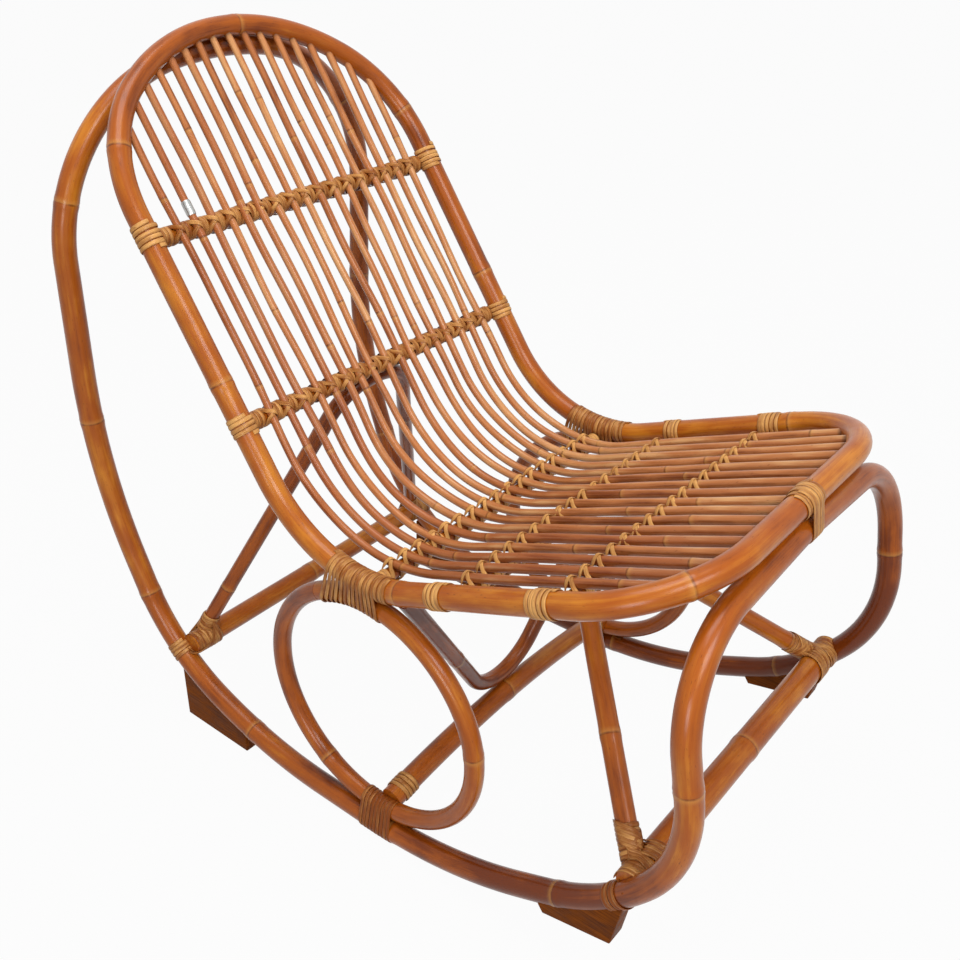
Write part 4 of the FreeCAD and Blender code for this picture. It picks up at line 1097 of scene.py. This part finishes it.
def lashings():
    """The rows of crossed cane that tie the slats to the rails and bars."""
    # The last number is painted light and shade on the cane: above 0 paler where lit, below 0 darker in
    # shade
    for seed, (node, rail, face, wraps, slat, bulk, painted_light_and_shade) in enumerate((
            ("upper_rail_lashing", "upper_back_rail", BACK_FACE, 2, 10.3, RAIL_BULK, -0.2),
            ("lower_rail_lashing", "lower_back_rail", BACK_FACE, 2, 10.6, RAIL_BULK, -0.2),
            ("rear_bar_lashing", "rear_seat_bar", REAR_BAR_FACE, 1, 11.2, 0.0, 0.9),
            ("middle_bar_lashing", "middle_seat_bar", SEAT_FACE, 1, 11.8, 0.0, 0.9),
            ("front_bar_lashing", "front_seat_bar", SEAT_FACE, 1, 12.3, 0.0, 0.9))):
        lashing(node, rail, face, wraps, slat, bulk, painted_light_and_shade, 300 + 10 * seed)


# Wedges and small parts

def wedge(node, corners, sign):
    """A wooden wedge with its edges rubbed round, drawn from the side."""
    width, rubbed, crease = 27.0, 1.6, math.radians(35.0)
    middle = 266.5 * sign
    shape = bmesh.new()
    rings = [[shape.verts.new((x * MM, y * MM, z * MM)) for y, z in corners]
             for x in (middle - width / 2, middle + width / 2)]
    shape.faces.new(rings[0][::-1])
    shape.faces.new(rings[1])
    for i in range(len(corners)):
        j = (i + 1) % len(corners)
        shape.faces.new((rings[0][i], rings[0][j], rings[1][j], rings[1][i]))
    bmesh.ops.recalc_face_normals(shape, faces=shape.faces)
    bmesh.ops.bevel(shape, geom=shape.edges[:], offset=rubbed * MM, segments=3, profile=0.6, affect="EDGES")
    mesh = bpy.data.meshes.new(node + "_wedge")
    shape.to_mesh(mesh)
    shape.free()
    mesh.shade_smooth()
    mesh.set_sharp_from_angle(angle=crease)
    mesh.materials.append(WOOD_FINISH)
    dress(placed(node + "_wedge", mesh), "block_wood", node)


def wedges():
    """The four stop blocks under the rockers."""
    rear = ((221.0, 0.0), (358.0, 0.0), (354.0, 95.0), (256.0, 46.0), (221.0, 30.0))
    front = ((-324.0, 70.0), (-418.0, 91.0), (-430.0, 158.0), (-374.0, 120.0), (-316.0, 82.0))
    for side, sign in (("right", -1), ("left", 1)):
        wedge("rear_stop_block_" + side, rear, sign)
        wedge("front_stop_block_" + side, front, sign)


def sleeve():
    """The metal band on one slat, as long and as full as the photo shows it."""
    half, radius, lip = 9.5, 6.2, 1.0
    slat = slat_axis(SLEEVED)
    middle = slat.near(middle_of("metal_sleeve"))
    lengths = np.linspace(-half, half, 9)
    places = np.array([slat.at(middle + length)[0] for length in lengths])
    rolled = radius - lip / 2 * (np.abs(lengths) > half - lip)
    run = {"place": places, "thickness": rolled * MM, "along": lengths * MM}
    piece = swept("metal_sleeve_band", POLE_TREE, [run], {"Sides": POLE_SIDES, "Finish": TIN_FINISH})
    dress(piece, "metal", "metal_sleeve")


def small_parts():
    """Finishes for the small parts that stay as the frame has them, and the metal band."""
    finishes = {"ring_spacers": WOOD_FINISH}
    for place in ("arch", "front_rail", "stretcher", "block"):
        finishes[place + "_nails"] = NAIL_FINISH
    for node, finish in finishes.items():
        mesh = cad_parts[node].data
        mesh.materials.clear()
        mesh.materials.append(finish)
    sleeve()


# Floor, light and camera

def seen_share(tree, seen, other):
    """One number for what the camera, a shine or a glass shows, and another for light on the chair."""
    path = add(tree, "ShaderNodeLightPath").outputs
    shown = reckoned(tree, "MAXIMUM", path["Is Camera Ray"], path["Is Glossy Ray"])
    shown = reckoned(tree, "MAXIMUM", shown, path["Is Transmission Ray"])
    return add(tree, "ShaderNodeMix", {0: shown, 2: other, 3: seen}, data_type="FLOAT").outputs[0]


def floor():
    """A white floor that keeps a soft shadow of the chair."""
    half = 30.0
    mesh = bpy.data.meshes.new("floor")
    corners = [(-half, -half, 0.0), (half, -half, 0.0), (half, half, 0.0), (-half, half, 0.0)]
    mesh.from_pydata(corners, [], [(0, 1, 2, 3)])
    material, tree = new_material("white floor")
    share = seen_share(tree, 0.96, 0.0)
    matt = add(tree, "ShaderNodeBsdfDiffuse", {"Color": colour("#A0A0A0")})
    white = add(tree, "ShaderNodeEmission", {"Color": colour("#FFFFFF"), "Strength": 1.0})
    surface = add(tree, "ShaderNodeMixShader", {0: share, 1: matt.outputs[0], 2: white.outputs[0]})
    add(tree, "ShaderNodeOutputMaterial", {"Surface": surface.outputs[0]})
    mesh.materials.append(material)
    piece = placed("floor", mesh)


def lamp(name, place, target, size, power):
    """A soft box that faces a place on the chair."""
    data = bpy.data.lights.new(name, "AREA")
    data.shape = "RECTANGLE"
    data.size, data.size_y = size
    data.energy = power
    made = placed(name, data)
    made.location = place
    made.rotation_euler = (made.location - Vector(target)).to_track_quat("Z", "Y").to_euler()


def light():
    """Soft light from above, from the front and from behind the camera, in a white room."""
    world = bpy.data.worlds.new("white room")
    bpy.context.scene.world = world
    world.use_nodes = True
    tree = world.node_tree
    tree.nodes.clear()
    strength = seen_share(tree, 1.0, 0.24)
    sky = add(tree, "ShaderNodeBackground", {"Color": colour("#FFFFFF"), "Strength": strength})
    add(tree, "ShaderNodeOutputWorld", {"Surface": sky.outputs[0]})
    lamp("overhead", place=(-0.2, 0.1, 3.0), target=(0.0, 0.0, 0.4), size=(1.5, 1.5), power=38.0)
    lamp("front", place=(-0.9, -2.0, 2.4), target=(0.0, 0.1, 0.5), size=(1.5, 1.0), power=44.0)
    lamp("side", place=(-2.4, -1.2, 0.9), target=(0.0, 0.0, 0.4), size=(0.8, 0.8), power=20.0)


def camera():
    """The photograph's view."""
    sensor, focal_pixels, photo_pixels = 36.0, 1089.28, 960.0
    tilt, turn = math.radians(30.13), math.radians(51.09)
    data = bpy.data.cameras.new("camera")
    data.sensor_width = sensor
    data.lens = sensor * focal_pixels / photo_pixels
    made = placed("camera", data)
    made.location = (-1.003, -0.81218, 1.17479)
    made.rotation_euler = Euler((math.pi / 2 - tilt, 0.0, -turn))
    bpy.context.scene.camera = made


poles()
slats()
end_bindings()
ring_bindings()
joint_bindings()
front_centre_binding()
lashings()
wedges()
small_parts()
floor()
light()
camera()
bpy.context.scene.view_settings.view_transform = "Standard"
